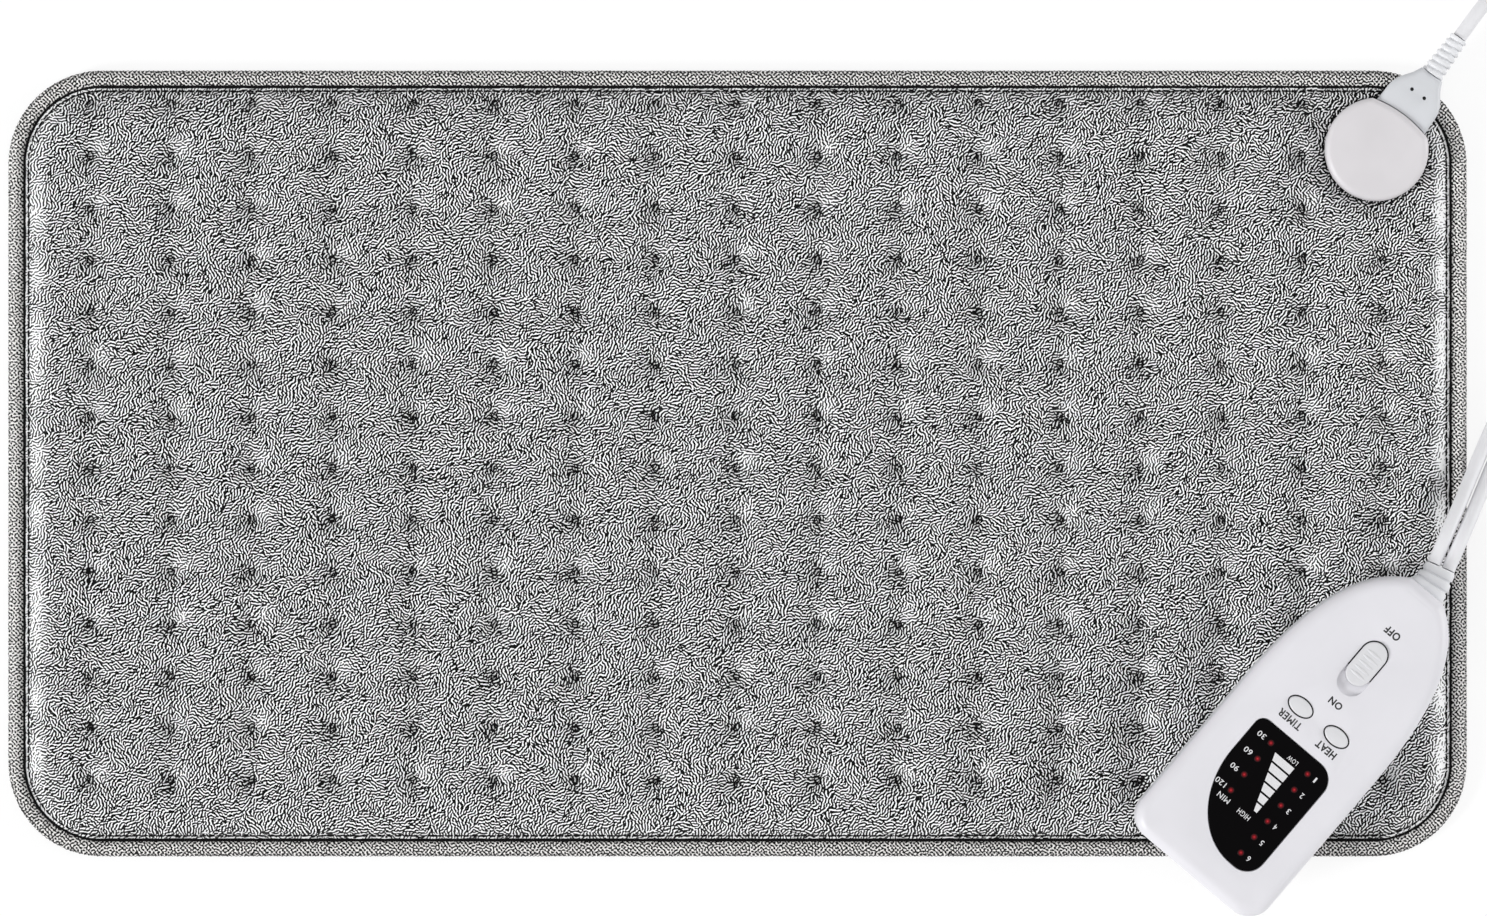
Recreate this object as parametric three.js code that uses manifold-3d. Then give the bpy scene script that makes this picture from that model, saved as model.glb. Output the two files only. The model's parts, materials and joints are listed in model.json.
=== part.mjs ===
// Heating pad with a hand controller, a plug-in pad lead and a mains lead.
// Millimetres, +Z up. The origin is the middle of the pad's underside.
import * as THREE from "three";
import { mergeVertices } from "three/addons/utils/BufferGeometryUtils.js";
import Module from "manifold-3d";

const { degToRad, lerp, smoothstep } = THREE.MathUtils;
const wasm = await Module();
wasm.setup();

// Shared fits and facets
const fit = 0.3; // gap between pieces that touch
const past = 1; // how far a cut runs past the face that it opens
const weld = 1e-4; // vertices closer than this are one
const farOff = 1000; // larger than the whole object
const bothSides = [-1, 1];
const arcSteps = 3; // pairs of facets in an arc
const largeSides = 24;
const roundSides = 12;
const smallSides = 8;
const leastLean = 0.5; // keeps an inset corner from running away

// Pad: outline and layers
const padLength = 584.4;
const padWidth = 314.8;
const padCornerRadius = 37.5;
const bindingWidth = 6.6;
const bindingHeight = 6;
const bindingCloth = 0.8;
const bindingRounding = 2;
const backThickness = 2;
const carrierThickness = 0.6;
const heaterDiameter = 2.4;
const waddingThickness = 2.4;
const panelCloth = 1.6; // top panel where a tuft draws it down
const cavityMargin = 15; // pad edge to the padded inside

// Pad: quilting
const tuftColumns = 17;
const tuftRows = 14;
const tuftMarginLeft = 33.2;
const tuftMarginRight = 34;
const tuftMarginTop = 13.6;
const tuftMarginBottom = 30.8;
const quiltRise = 3.8; // ridge over a tuft
const edgeFall = 8; // width over which the quilt falls to the seam

// Pad: heater
const heaterRows = 10;
const heaterMarginSide = 31.4; // pad edge to the outer runs
const heaterMarginLeft = 30;
const heaterMarginRight = 92;
const turnSteps = 5;
const wireSides = 6;
const thermostatLength = 14;
const thermostatWidth = 7;
const heaterLeadDiameter = 1.4;
const heaterLeadSteps = 3; // per listed point
const leadApproach = 12; // straight stretch before the passage
const leadClimb = [[4, 0.12], [7, 0.6], [9.5, 0.96]]; // way into the passage, share of the climb
const leadFromNear = [[5.2, 0], [14.2, -8], [18.2, -22], [19.2, -34]]; // from the near thermostat
const leadFromFar = [[5.2, 0], [29.2, 7], [40.2, 22], [42.2, 66]]; // from the far thermostat
const leadPastNear = [[42.2, -126], [39.2, -76], [31.2, -46]]; // the same lead, from the near thermostat

// Socket on the pad
const connectorFromRight = 36.6;
const connectorFromTop = 31.8;
const connectorAngle = 53.5; // degrees from +X to the way the plug pulls out
const socketRadius = 20.6;
const socketHeight = 11.8;
const socketWall = 2;
const socketRounding = 2.4;
const frontRadius = 49; // shallow arc where the plug meets the socket
const frontCrown = 17.4;
const frontSides = 72;
const socketSteps = 7;
const pocketGap = 1;
const pocketWall = 2;
const clampRadius = 19;
const clampThickness = 2.6;
const passageHalfWidth = 5; // way for the leads through plate and cloth
const passageNear = 4;
const passageFar = 14;
const socketScrewX = 12.5;
const socketScrewY = -3;
const socketBossRadius = 3.2;
const socketScrewRadius = 1.2;
const socketScrewHeadRadius = 2.2;
const socketScrewHead = 1.2;
const socketScrewReach = 7; // screw into the boss
const pinSpacing = 6.1;
const pinRadius = 1.1;
const pinBack = -1;
const pinFront = 14;
const pinBlockBack = 2;
const pinBlockFront = 6;

// Plug of the pad lead
const plugHeight = 9.6;
const plugRounding = 2.2;
const plugBaseHalf = 12.2;
const plugShoulderHalf = 11.5;
const plugShoulder = 24;
const plugNeckHalf = 5;
const plugEnd = 37.2;
const plugCurveA = { x: 11, y: 30 };
const plugCurveB = { x: 6, y: 33 };
const tongueHalfWidth = 8.6;
const tongueHeight = 5.8;
const tongueFront = 8;
const contactBack = 23.5;
const contactWall = 0.5;
const chamberHalfWidth = 5.5;
const chamberHeight = 7;
const chamberEnd = 33.6;
const plugDotRadius = 0.8;
const plugDotDepth = 1;
const plugDotY = 27.3;
const reliefLength = 18;
const reliefRadiusStart = 4.7;
const reliefRadiusEnd = 3.8;
const reliefGroove = 0.7;
const reliefGrooveWidth = 1.2;
const reliefRibs = 5;
const reliefLand = 0.5; // smooth end, in ribs
const reliefNeckRadius = 2.3;
const reliefFlangeRadius = 3.2;
const reliefFlange = 1.4;

// Controller: shells
const controllerFromRight = 67.9;
const controllerFromBottom = 47.1;
const controllerAngle = 49.7; // degrees from +X to the cord end
const controllerHalfWidth = 33.3;
const controllerTail = 69.2; // centre to the display end
const controllerTip = 78; // centre to the cord end
const controllerShoulder = 5; // where the sides start to draw in
const controllerCornerRadius = 10.5;
const archHandle = 40;
const archCurve = { x: 25.5, y: 68 };
const neckHalf = 8;
const controllerHeight = 26;
const controllerParting = 11.5;
const controllerTopRounding = 5;
const controllerBottomRounding = 3;
const wall = 2;
const roof = 3;
const base = 2;
const outlineSteps = 6;

// Controller: case screws
const frontScrew = { x: 23.5, y: -57.5 };
const rearScrew = { x: 17, y: 57 };
const bossRadius = 4.2;
const caseScrewRadius = 1.3;
const caseHeadRadius = 2.5;
const caseHead = 2;
const caseHeadSink = 0.6;
const caseScrewReach = 8.5; // screw above the parting line

// Controller: display
const windowLeft = -18.7;
const windowRight = 19.9;
const windowTop = -2.1;
const windowBottom = -55.3;
const windowRadiusTopLeft = 4;
const windowRadiusTopRight = 8;
const windowRadiusBottom = 8;
const windowSweep = { x: 9.5, y: -20 }; // middle of the large lower left arc
const windowSteps = 3;
const windowThickness = 1.4;
const windowSink = 0.2;
const windowLedge = 2;
const frameDeck = 2.7;
const frameSkirt = 1.2;
const ledPitch = 8.2;
const ledFirst = -8.5;
const timerLedX = -8.7;
const heatLedX = 10.4;
const timerLeds = 4;
const heatLeds = 6;
const ledRadius = 1.5;
const ledReach = 1.5; // lamp above the underside of the light box's deck
const ledBarWidth = 4;
const ledBarThickness = 1.2;
const ledBarOverhang = 2.2;

// Controller: push buttons
const buttonY = 10.1;
const timerButtonX = -9;
const heatButtonX = 9.6;
const buttonHoleLength = 11.8;
const buttonHoleWidth = 7.4;
const buttonGap = 0.4;
const buttonProud = 1;
const buttonRounding = 0.8;
const buttonFlange = 1;
const buttonFlangeOverlap = 1.2;
const buttonTravel = 0.8;
const plungerRadius = 1.6;
const plungerLength = 2;
const plungerShow = 1;
const switchSize = 6;
const switchHeight = 2.5;

// Controller: power slide switch
const recessStart = 25;
const recessLength = 25.5;
const recessWidth = 11.7;
const recessDepth = 1.6;
const knobLength = 20;
const knobGap = 0.4;
const knobProud = 1.2;
const knobRounding = 0.6;
const knobRibs = 5;
const knobRibPitch = 2.6;
const knobRibWidth = 1.1;
const knobRibHeight = 0.6;
const stemWidth = 4;
const stemLength = 4.6;
const retainerThickness = 0.8;
const retainerMargin = 2.4;
const sliderWidth = 8;
const sliderLength = 18;
const sliderHeight = 2.4;
const leverSize = 2;
const leverDepth = 1.4;
const leverEngage = 1.2;

// Controller: board and what hangs under it
const boardThickness = 1.6;
const boardGap = 1;
const boardEnd = 52;
const boardNotch = 0.6;
const pillarX = 27;
const pillarFront = -40;
const pillarRear = 0;
const pillarRadius = 2;
const filmCapacitor = { x: -12, y: -20, width: 9, length: 20, height: 9 };
const triac = { x: 15, y: 12, width: 10, length: 4.5 };
const triacTab = { length: 1.5, rise: 3, gap: 1.7 }; // gap over the base
const chip = { x: -10, y: 16, width: 8, length: 12, height: 1.8 };
const storageCapacitor = { x: 12, y: -24, radius: 4.5, length: 16 };

// Controller: cord entry
const collarEnd = 88.9;
const collarLean = -1.7;
const collarCurve = 83;
const collarRoot = { half: 8, rise: 4.6 };
const collarTip = { half: 6.3, rise: 4.1 };
const collarNeck = { half: 5.6, rise: 3.4 };
const collarFlange = { half: 6.6, rise: 4.6, thickness: 2 };
const collarGrooves = 2;
const collarGrooveDepth = 0.8;
const collarGrooveWidth = 1;
const collarPower = 3; // section between an oval and a box
const innerWireDiameter = 3.6;
const innerWireX = 4.2;
const innerWireSteps = 16;
const wireWay = [[1.1, -6, 0], [1.5, 1, 0.3], [1.7, 4.6, 1.6]]; // spread, way under the board, rise
const wireFoot = { spread: 1.7, into: 4.8, length: 1.5 };
const clampY = 66;
const clampLength = 4.4;
const clampHalf = 12.5;
const clampBridge = 2;
const clampChannelHalf = 7;
const clampScrewX = 10;
const clampScrewRadius = 1;
const clampScrewHeadRadius = 2;
const clampScrewHead = 1.4;
const clampScrewReach = 4;

// Cords
const cordDiameter = 5.6;
const cordSpacing = 6.2;
const cordSides = 8;
const cordFloor = 3; // middle of a cord that lies on the floor
const leadDroop = { length: 14, drop: 0.8 }; // pad lead behind its strain relief
const collarDrop = [[0, 0], [12, 0.044], [26, 0.28], [42, 0.667]]; // way from the collar, share of the drop
const leadLanding = [58, 0.93];
const mainsLanding = [56, 0.903];

// Floor points of the cords: from the pad's right edge, from the pad's middle, height
const leadRoute = [
  [15.8, 194.5, 7.4], [33.8, 208.5, 3.6], [55.8, 215.6], [77.8, 211.5], [94.8, 198], [103.8, 179],
  [104.3, 157], [98.3, 136], [87.8, 117], [74.3, 99], [59.3, 82.5], [44.3, 66.5], [30.3, 49.5],
  [18.8, 31.5, 3.4],
];
const mainsRoute = [
  [20.8, 20, 3.4], [30.3, 30.5], [42.8, 37.5], [57.8, 39.5], [72.8, 36], [86.8, 27], [98.3, 14], [105.8, -3],
];
const leadSteps = 40;
const mainsSteps = 30;
const tailSteps = 6;

// Mains coil and its tie
const coilFromPad = 63.8; // pad edge to the coil's middle
const coilY = -46;
const coilApproach = 26; // where the mains cord starts to rise to the coil
const coilInner = 22.6; // middle of the innermost turn
const coilPitch = 6.3;
const coilLoops = 7; // in both layers together
const coilStepsPerLoop = 24;
const coilSides = 6;
const coilLayer = 6.2;
const tieThickness = 0.6;
const tieWidth = 8;
const tieSlack = 0.8;

// Mains plug
const tailLength = 42;
const plugAxis = 8; // cord and plug axis over the floor
const bootLength = 18;
const bootRadiusStart = 3.9;
const bootRadiusEnd = 5.2;
const bootRibs = 4;
const bootGroove = 0.6;
const bootGrooveWidth = 1.2;
const bodyHalfWidth = 12;
const bodyLength = 29;
const bodyShape = [ // shares of length, width and height, and how boxy
  [0.1, 0.78, 0.82, 3], [0.21, 0.95, 0.96, 3.5], [0.35, 1, 1, 4], [0.95, 1, 1, 4], [1, 0.9, 0.85, 4],
];
const bladeSpacing = 12.7;
const bladeThickness = 1.5;
const bladeWidth = 6.3;
const bladeLength = 16;
const bladeRoot = 6;

// Pad levels, from the floor up
const carrierBottom = backThickness + fit;
const carrierTop = carrierBottom + carrierThickness;
const heaterZ = carrierTop + fit + heaterDiameter / 2;
const waddingBottom = heaterZ + heaterDiameter / 2 + fit;
const waddingTop = waddingBottom + waddingThickness;
const cavityTop = waddingTop + fit;
const tuftHeight = cavityTop + panelCloth;
const crownHeight = tuftHeight + quiltRise;
const flangeBottom = backThickness + fit;
const flangeTop = bindingHeight - bindingCloth - fit;
const hemThird = (flangeTop - flangeBottom) / 3;
const seamHeight = flangeTop - hemThird; // the skin runs out inside the hem
const leadZ = carrierTop + fit + heaterLeadDiameter / 2;
const clampTop = backThickness + fit + clampThickness;
const seatBottom = clampTop + fit;
const seatTop = seatBottom + panelCloth;
const socketBottom = seatTop + fit;
const socketTop = socketBottom + socketHeight;
const plugMiddle = socketBottom + (socketHeight - socketWall) / 2;

// Controller levels, from its underside up
const roofUnder = controllerHeight - roof;
const lowerEdge = controllerParting - fit / 2;
const upperEdge = controllerParting + fit / 2;
const buttonFlangeTop = roofUnder - fit;
const buttonFlangeBottom = buttonFlangeTop - buttonFlange;
const plungerTop = buttonFlangeBottom - fit;
const plungerBottom = plungerTop - plungerLength;
const switchTop = plungerTop - plungerShow;
const boardTop = switchTop - switchHeight - fit;
const boardBottom = boardTop - boardThickness;
const hangTop = boardBottom - fit;
const restOnBoard = boardTop + fit;
const deckUnder = roofUnder - fit - frameDeck;
const sliderTop = restOnBoard + sliderHeight;
const stemBottom = sliderTop + fit;
const leverTop = stemBottom + leverEngage;
const recessFloor = controllerHeight - recessDepth;
const knobTravel = recessLength - knobLength - 2 * knobGap;
const recessEnd = recessStart + recessLength;
const knobMiddle = recessEnd - knobGap - knobLength / 2;
const controllerRest = crownHeight + fit;
const collarHeight = controllerRest + controllerParting - cordFloor;

// Coil
const coilOuter = coilInner + (coilPitch * coilLoops) / 2;
const coilLow = tieThickness + fit + cordDiameter / 2;
const coilHigh = coilLow + coilLayer;
const coilMiddleX = padLength / 2 + coilFromPad;
const coilX = coilMiddleX + coilOuter;
const tailStart = coilY - cordDiameter - fit;

// Finishes
const finish = (color, roughness, metalness = 0) => ({ color, roughness, metalness });
const plush = finish(0xb4b4b6, 1);
const backCloth = finish(0xb9b9bb, 0.95);
const tape = finish(0xa9a9ac, 0.9);
const fleece = finish(0xe6e4de, 1);
const carrierCloth = finish(0xdedbd2, 1);
const heaterSheath = finish(0xd8c9b0, 0.6);
const whiteShell = finish(0xe4e3e8, 0.45);
const socketShell = finish(0xdadadd, 0.5);
const whiteRubber = finish(0xe8e8ea, 0.6);
const whiteCord = finish(0xeeeeef, 0.55);
const blackGloss = finish(0x0b0b0d, 0.12);
const blackPlastic = finish(0x1b1b1d, 0.5);
const whiteButton = finish(0xf0f0f2, 0.4);
const boardGreen = finish(0x1f5a36, 0.5);
const redLamp = finish(0x8e1a1c, 0.3);
const yellowPart = finish(0xd9a521, 0.4);
const steel = finish(0xb9bcc0, 0.35, 1);
const brass = finish(0xc9a24a, 0.35, 1);

// Solids and cuts

function asSolid(piece) {
  if (!piece.isBufferGeometry) return piece;
  const loose = piece.index ? piece.toNonIndexed() : piece;
  const bare = new THREE.BufferGeometry();
  bare.setAttribute("position", loose.getAttribute("position"));
  const merged = mergeVertices(bare, weld);
  const vertProperties = new Float32Array(merged.getAttribute("position").array);
  const triVerts = new Uint32Array(merged.index.array);
  return new wasm.Manifold(new wasm.Mesh({ numProp: 3, vertProperties, triVerts }));
}

function asGeometry(piece) {
  if (piece.isBufferGeometry) return piece;
  const mesh = piece.getMesh();
  const geometry = new THREE.BufferGeometry();
  geometry.setAttribute("position", new THREE.BufferAttribute(mesh.vertProperties, 3));
  geometry.setIndex(new THREE.BufferAttribute(mesh.triVerts, 1));
  geometry.computeVertexNormals();
  return geometry;
}

const join = (...pieces) => pieces.map(asSolid).reduce((whole, piece) => whole.add(piece));
const cut = (body, ...tools) =>
  tools.map(asSolid).reduce((rest, tool) => rest.subtract(tool), asSolid(body));

function prism(shape, low, high, curveSegments = arcSteps) {
  const options = { depth: high - low, bevelEnabled: false, curveSegments };
  return new THREE.ExtrudeGeometry(shape, options).translate(0, 0, low);
}

// A prism whose upper and lower edges are rounded.
function roundedPrism(shape, low, high, rounding, curveSegments = arcSteps, bevelSegments = 2) {
  const geometry = new THREE.ExtrudeGeometry(shape, {
    depth: high - low - 2 * rounding,
    bevelThickness: rounding,
    bevelSize: rounding,
    bevelOffset: -rounding,
    bevelSegments,
    curveSegments,
  });
  return geometry.translate(0, 0, low + rounding);
}

function block(x0, x1, y0, y1, z0, z1) {
  const geometry = new THREE.BoxGeometry(x1 - x0, y1 - y0, z1 - z0);
  return geometry.translate((x0 + x1) / 2, (y0 + y1) / 2, (z0 + z1) / 2);
}

const below = (z) => block(-farOff, farOff, -farOff, farOff, -farOff, z);
const above = (z) => block(-farOff, farOff, -farOff, farOff, z, farOff);

function post(x, y, low, high, radius, sides = smallSides) {
  const geometry = new THREE.CylinderGeometry(radius, radius, high - low, sides);
  return geometry.rotateX(Math.PI / 2).translate(x, y, (low + high) / 2);
}

// A round bar along Y.
function bar(x, back, front, z, radius, sides = smallSides) {
  const geometry = new THREE.CylinderGeometry(radius, radius, front - back, sides);
  return geometry.translate(x, (back + front) / 2, z);
}

// A turned piece along Y: the profile lists radius and place.
function turned(profile, sides = smallSides) {
  const points = profile.map(([radius, y]) => new THREE.Vector2(radius, y));
  return new THREE.LatheGeometry(points, sides);
}

// A screw that points up.
function screw(x, y, headBottom, head, headRadius, radius, tip) {
  const seat = headBottom + head;
  const headSide = [[0, headBottom], [headRadius, headBottom], [headRadius, seat]];
  const shank = [[radius, seat], [radius, tip], [0, tip]];
  return turned([...headSide, ...shank]).rotateX(Math.PI / 2).translate(x, y, 0);
}

function roundedRectangle(left, right, bottom, top, radius) {
  const shape = new THREE.Shape();
  shape.absarc(right - radius, top - radius, radius, 0, Math.PI / 2);
  shape.absarc(left + radius, top - radius, radius, Math.PI / 2, Math.PI);
  shape.absarc(left + radius, bottom + radius, radius, Math.PI, 1.5 * Math.PI);
  shape.absarc(right - radius, bottom + radius, radius, 1.5 * Math.PI, 2 * Math.PI);
  return shape;
}

function obround(x, y, width, length) {
  const radius = Math.min(width, length) / 2;
  return roundedRectangle(x - width / 2, x + width / 2, y - length / 2, y + length / 2, radius);
}

// The outline of a convex shape moved inwards, each corner along its own bisector.
function inset(shape, distance, divisions = outlineSteps) {
  const apart = (point, i, all) => point.distanceTo(all.at(i - 1)) > weld;
  const points = shape.getPoints(divisions).filter(apart);
  const moved = points.map((point, i) => {
    const before = point.clone().sub(points.at(i - 1)).normalize();
    const after = points[(i + 1) % points.length].clone().sub(point).normalize();
    const normal = new THREE.Vector2(-before.y - after.y, before.x + after.x).normalize();
    const lean = Math.max(normal.dot(new THREE.Vector2(-before.y, before.x)), leastLean);
    return point.clone().addScaledVector(normal, distance / lean);
  });
  return new THREE.Shape(moved);
}

// Rings of equally many points, each turning left seen from the last ring, closed into one skin.
function loft(rings) {
  const corners = [];
  const count = rings[0].length;
  const next = (j) => (j + 1) % count;
  for (let i = 0; i + 1 < rings.length; i += 1) {
    const [near, far] = [rings[i], rings[i + 1]];
    for (let j = 0; j < count; j += 1) {
      corners.push(near[j], near[next(j)], far[next(j)], near[j], far[next(j)], far[j]);
    }
  }
  const [first, last] = [rings[0], rings.at(-1)];
  for (let j = 1; j + 1 < count; j += 1) {
    corners.push(first[0], first[j + 1], first[j]);
    corners.push(last[0], last[j], last[j + 1]);
  }
  return new THREE.BufferGeometry().setFromPoints(corners);
}

// A ring round a point, square to a level direction; power 2 is an ellipse and more is boxier.
function ring(centre, direction, half, rise, sides = roundSides, power = 2) {
  const up = new THREE.Vector3(0, 0, 1);
  const side = new THREE.Vector3().crossVectors(up, direction).normalize();
  const top = new THREE.Vector3().crossVectors(direction, side).normalize();
  const bulge = (value) => Math.sign(value) * Math.abs(value) ** (2 / power);
  return Array.from({ length: sides }, (_, j) => {
    const angle = (2 * Math.PI * (j + 0.5)) / sides;
    const point = centre.clone().addScaledVector(side, half * bulge(Math.cos(angle)));
    return point.addScaledVector(top, rise * bulge(Math.sin(angle)));
  });
}

function circle(diameter, sides) {
  const corners = Array.from({ length: sides }, (_, j) => {
    const angle = (2 * Math.PI * j) / sides;
    return new THREE.Vector2(Math.cos(angle), Math.sin(angle)).multiplyScalar(diameter / 2);
  });
  return new THREE.Shape(corners);
}

function tube(points, diameter, steps, sides = cordSides) {
  const extrudePath = new THREE.CatmullRomCurve3(points, false, "centripetal");
  return new THREE.ExtrudeGeometry(circle(diameter, sides), { steps, extrudePath });
}

const at = (x, y, z) => new THREE.Vector3(x, y, z);

// Groups: the whole, and the frames of the connector and the controller

const heatingPad = new THREE.Group();
heatingPad.name = "heating_pad";

function frameAt(x, y, z, degrees) {
  const group = new THREE.Group();
  group.position.set(x, y, z);
  group.rotation.z = degToRad(degrees);
  group.updateMatrix();
  heatingPad.add(group);
  return group;
}

const quarterTurn = 90;
const connector = frameAt(
  padLength / 2 - connectorFromRight,
  padWidth / 2 - connectorFromTop,
  0,
  connectorAngle - quarterTurn,
);
const controller = frameAt(
  padLength / 2 - controllerFromRight,
  controllerFromBottom - padWidth / 2,
  controllerRest,
  controllerAngle - quarterTurn,
);
const mainsPlug = frameAt(coilX, tailStart - tailLength - fit, plugAxis, 2 * quarterTurn);

function place(group, name, piece, look) {
  const mesh = new THREE.Mesh(asGeometry(piece), new THREE.MeshStandardMaterial(look));
  mesh.name = name;
  group.add(mesh);
}

// Pad

function padOutline(distance) {
  const [x, y] = [padLength / 2 - distance, padWidth / 2 - distance];
  return roundedRectangle(-x, x, -y, y, padCornerRadius - distance);
}

function edgeBinding() {
  const fold = roundedPrism(padOutline(0), 0, bindingHeight, bindingRounding);
  const inside = prism(padOutline(bindingCloth), bindingCloth, bindingHeight - bindingCloth);
  const opening = prism(padOutline(bindingWidth), -past, bindingHeight + past);
  return cut(fold, inside, opening);
}

function backPanel() {
  const sheet = prism(padOutline(bindingWidth + fit), 0, backThickness);
  const hem = prism(padOutline(bindingCloth + fit), bindingCloth + fit, backThickness);
  return join(sheet, hem);
}

// Room round the socket and along the plug, in the connector's frame.
function connectorPocket(grow, low, high) {
  const round = post(0, 0, low, high, socketRadius + pocketGap + grow, largeSides);
  const half = plugBaseHalf + pocketGap + grow;
  const channel = block(-half, half, 0, plugEnd + reliefLength, low, high);
  return join(round.applyMatrix4(connector.matrix), channel.applyMatrix4(connector.matrix));
}

const panelInset = bindingWidth + fit;

// How far a point lies inside the rounded seam line.
function seamDistance(x, y) {
  const radius = padCornerRadius - panelInset;
  const overX = Math.abs(x) - (padLength / 2 - padCornerRadius);
  const overY = Math.abs(y) - (padWidth / 2 - padCornerRadius);
  const outside = Math.hypot(Math.max(overX, 0), Math.max(overY, 0));
  return radius - outside - Math.min(Math.max(overX, overY), 0);
}

// Ridge lines halfway between the tufts, with the seam line at both ends.
function ridgeLines(tufts, lowSeam, highSeam) {
  const half = (tufts[1] - tufts[0]) / 2;
  const ridges = [tufts[0] - half, ...tufts.map((tuft) => tuft + half)];
  return [lowSeam, ...ridges.filter((line) => line > lowSeam && line < highSeam), highSeam];
}

function tuftLine(count, low, high) {
  return Array.from({ length: count }, (_, i) => low + ((high - low) * i) / (count - 1));
}

// The seam point that a grid line's end comes to.
function seamPoint(x, y, alongX, alongY) {
  const radius = padCornerRadius - panelInset;
  const centre = { x: padLength / 2 - padCornerRadius, y: padWidth / 2 - padCornerRadius };
  const over = { x: Math.max(Math.abs(x) - centre.x, 0), y: Math.max(Math.abs(y) - centre.y, 0) };
  if (alongX && alongY) over.x = radius * Math.SQRT1_2;
  const reach = (other) => Math.sqrt(Math.max(radius ** 2 - other ** 2, 0));
  const seamX = Math.sign(x) * (centre.x + reach(over.y));
  const seamY = Math.sign(y) * (centre.y + reach(over.x));
  if (alongX && alongY) return [Math.sign(x) * (centre.x + over.x), seamY];
  return alongX ? [seamX, y] : [x, seamY];
}

function quiltHeight(x, y, form) {
  const rise = Math.min(seamDistance(x, y) / edgeFall, 1);
  return seamHeight + (form - seamHeight) * rise * (2 - rise);
}

// The padded skin: ridges between a grid of drawn-in tufts, falling to the seam all round.
function quilt() {
  const [seamX, seamY] = [padLength / 2 - panelInset, padWidth / 2 - panelInset];
  const tuftXs = tuftLine(tuftColumns, tuftMarginLeft - padLength / 2, padLength / 2 - tuftMarginRight);
  const tuftYs = tuftLine(tuftRows, tuftMarginBottom - padWidth / 2, padWidth / 2 - tuftMarginTop);
  const xs = ridgeLines(tuftXs, -seamX, seamX);
  const ys = ridgeLines(tuftYs, -seamY, seamY);
  const [endX, endY] = [xs.length - 1, ys.length - 1];
  const upper = xs.map((x, i) => ys.map((y, j) => {
    const [alongX, alongY] = [i === 0 || i === endX, j === 0 || j === endY];
    if (!alongX && !alongY) return at(x, y, quiltHeight(x, y, crownHeight));
    const [px, py] = seamPoint(x, y, alongX, alongY);
    return at(px, py, seamHeight);
  }));
  const lower = upper.map((line) => line.map((point) => at(point.x, point.y, flangeBottom + hemThird)));
  const corners = [];
  const quad = (a, b, c, d) => corners.push(a, b, c, a, c, d);
  const within = (value, low, high) => value > low && value < high;
  for (let i = 0; i < endX; i += 1) {
    for (let j = 0; j < endY; j += 1) {
      const face = [upper[i][j], upper[i + 1][j], upper[i + 1][j + 1], upper[i][j + 1]];
      const x = tuftXs.find((value) => within(value, xs[i], xs[i + 1]));
      const y = tuftYs.find((value) => within(value, ys[j], ys[j + 1]));
      if (x === undefined || y === undefined) {
        quad(...face);
      } else {
        const tuft = at(x, y, quiltHeight(x, y, tuftHeight));
        face.forEach((corner, k) => corners.push(corner, face[(k + 1) % face.length], tuft));
      }
      quad(lower[i][j], lower[i][j + 1], lower[i + 1][j + 1], lower[i + 1][j]);
    }
    quad(lower[i][0], lower[i + 1][0], upper[i + 1][0], upper[i][0]);
    quad(lower[i + 1][endY], lower[i][endY], upper[i][endY], upper[i + 1][endY]);
  }
  for (let j = 0; j < endY; j += 1) {
    quad(lower[0][j + 1], lower[0][j], upper[0][j], upper[0][j + 1]);
    quad(lower[endX][j], lower[endX][j + 1], upper[endX][j + 1], upper[endX][j]);
  }
  return new THREE.BufferGeometry().setFromPoints(corners);
}

function quiltedTopPanel() {
  const hem = prism(padOutline(bindingCloth + fit), flangeBottom, flangeTop);
  const inside = prism(padOutline(cavityMargin), flangeBottom - past, cavityTop);
  const seat = connectorPocket(pocketWall, seatBottom, crownHeight + past);
  const plateRoom = post(0, 0, flangeBottom - past, seatBottom, clampRadius + fit, largeSides);
  const room = join(cut(inside, seat), plateRoom.applyMatrix4(connector.matrix));
  const pocket = connectorPocket(0, seatTop, crownHeight + past);
  const half = passageHalfWidth;
  const passage = block(-half, half, -passageFar, -passageNear, 0, seatTop + past);
  const holes = bothSides.map((side) => {
    const hole = post(side * socketScrewX, socketScrewY, 0, seatTop + past, socketScrewRadius + fit);
    return hole.applyMatrix4(connector.matrix);
  });
  const panel = cut(join(quilt(), hem), room, pocket);
  return cut(panel, passage.applyMatrix4(connector.matrix), ...holes);
}

function innerSheet(low, high) {
  const sheet = prism(padOutline(cavityMargin + fit), low, high);
  return cut(sheet, connectorPocket(pocketWall + fit, low - past, high + past));
}

// A path that a sweep follows corner by corner, so that its steps fall on the listed points.
class CornerPath extends THREE.Curve {
  constructor(points) {
    super();
    this.points = points;
  }

  getPoint(t) {
    const along = t * (this.points.length - 1);
    const i = Math.min(Math.floor(along), this.points.length - 2);
    return this.points[i].clone().lerp(this.points[i + 1], along - i);
  }

  getPointAt(u) {
    return this.getPoint(u);
  }

  getTangentAt(u) {
    const step = 0.5 / (this.points.length - 1);
    const ahead = this.getPoint(Math.min(u + step, 1));
    return ahead.sub(this.getPoint(Math.max(u - step, 0))).normalize();
  }
}

const heaterTop = padWidth / 2 - heaterMarginSide;
const heaterPitch = (2 * heaterTop) / (heaterRows - 1);
const heaterRight = padLength / 2 - heaterMarginRight;
const heaterLeft = heaterMarginLeft - padLength / 2;

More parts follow.
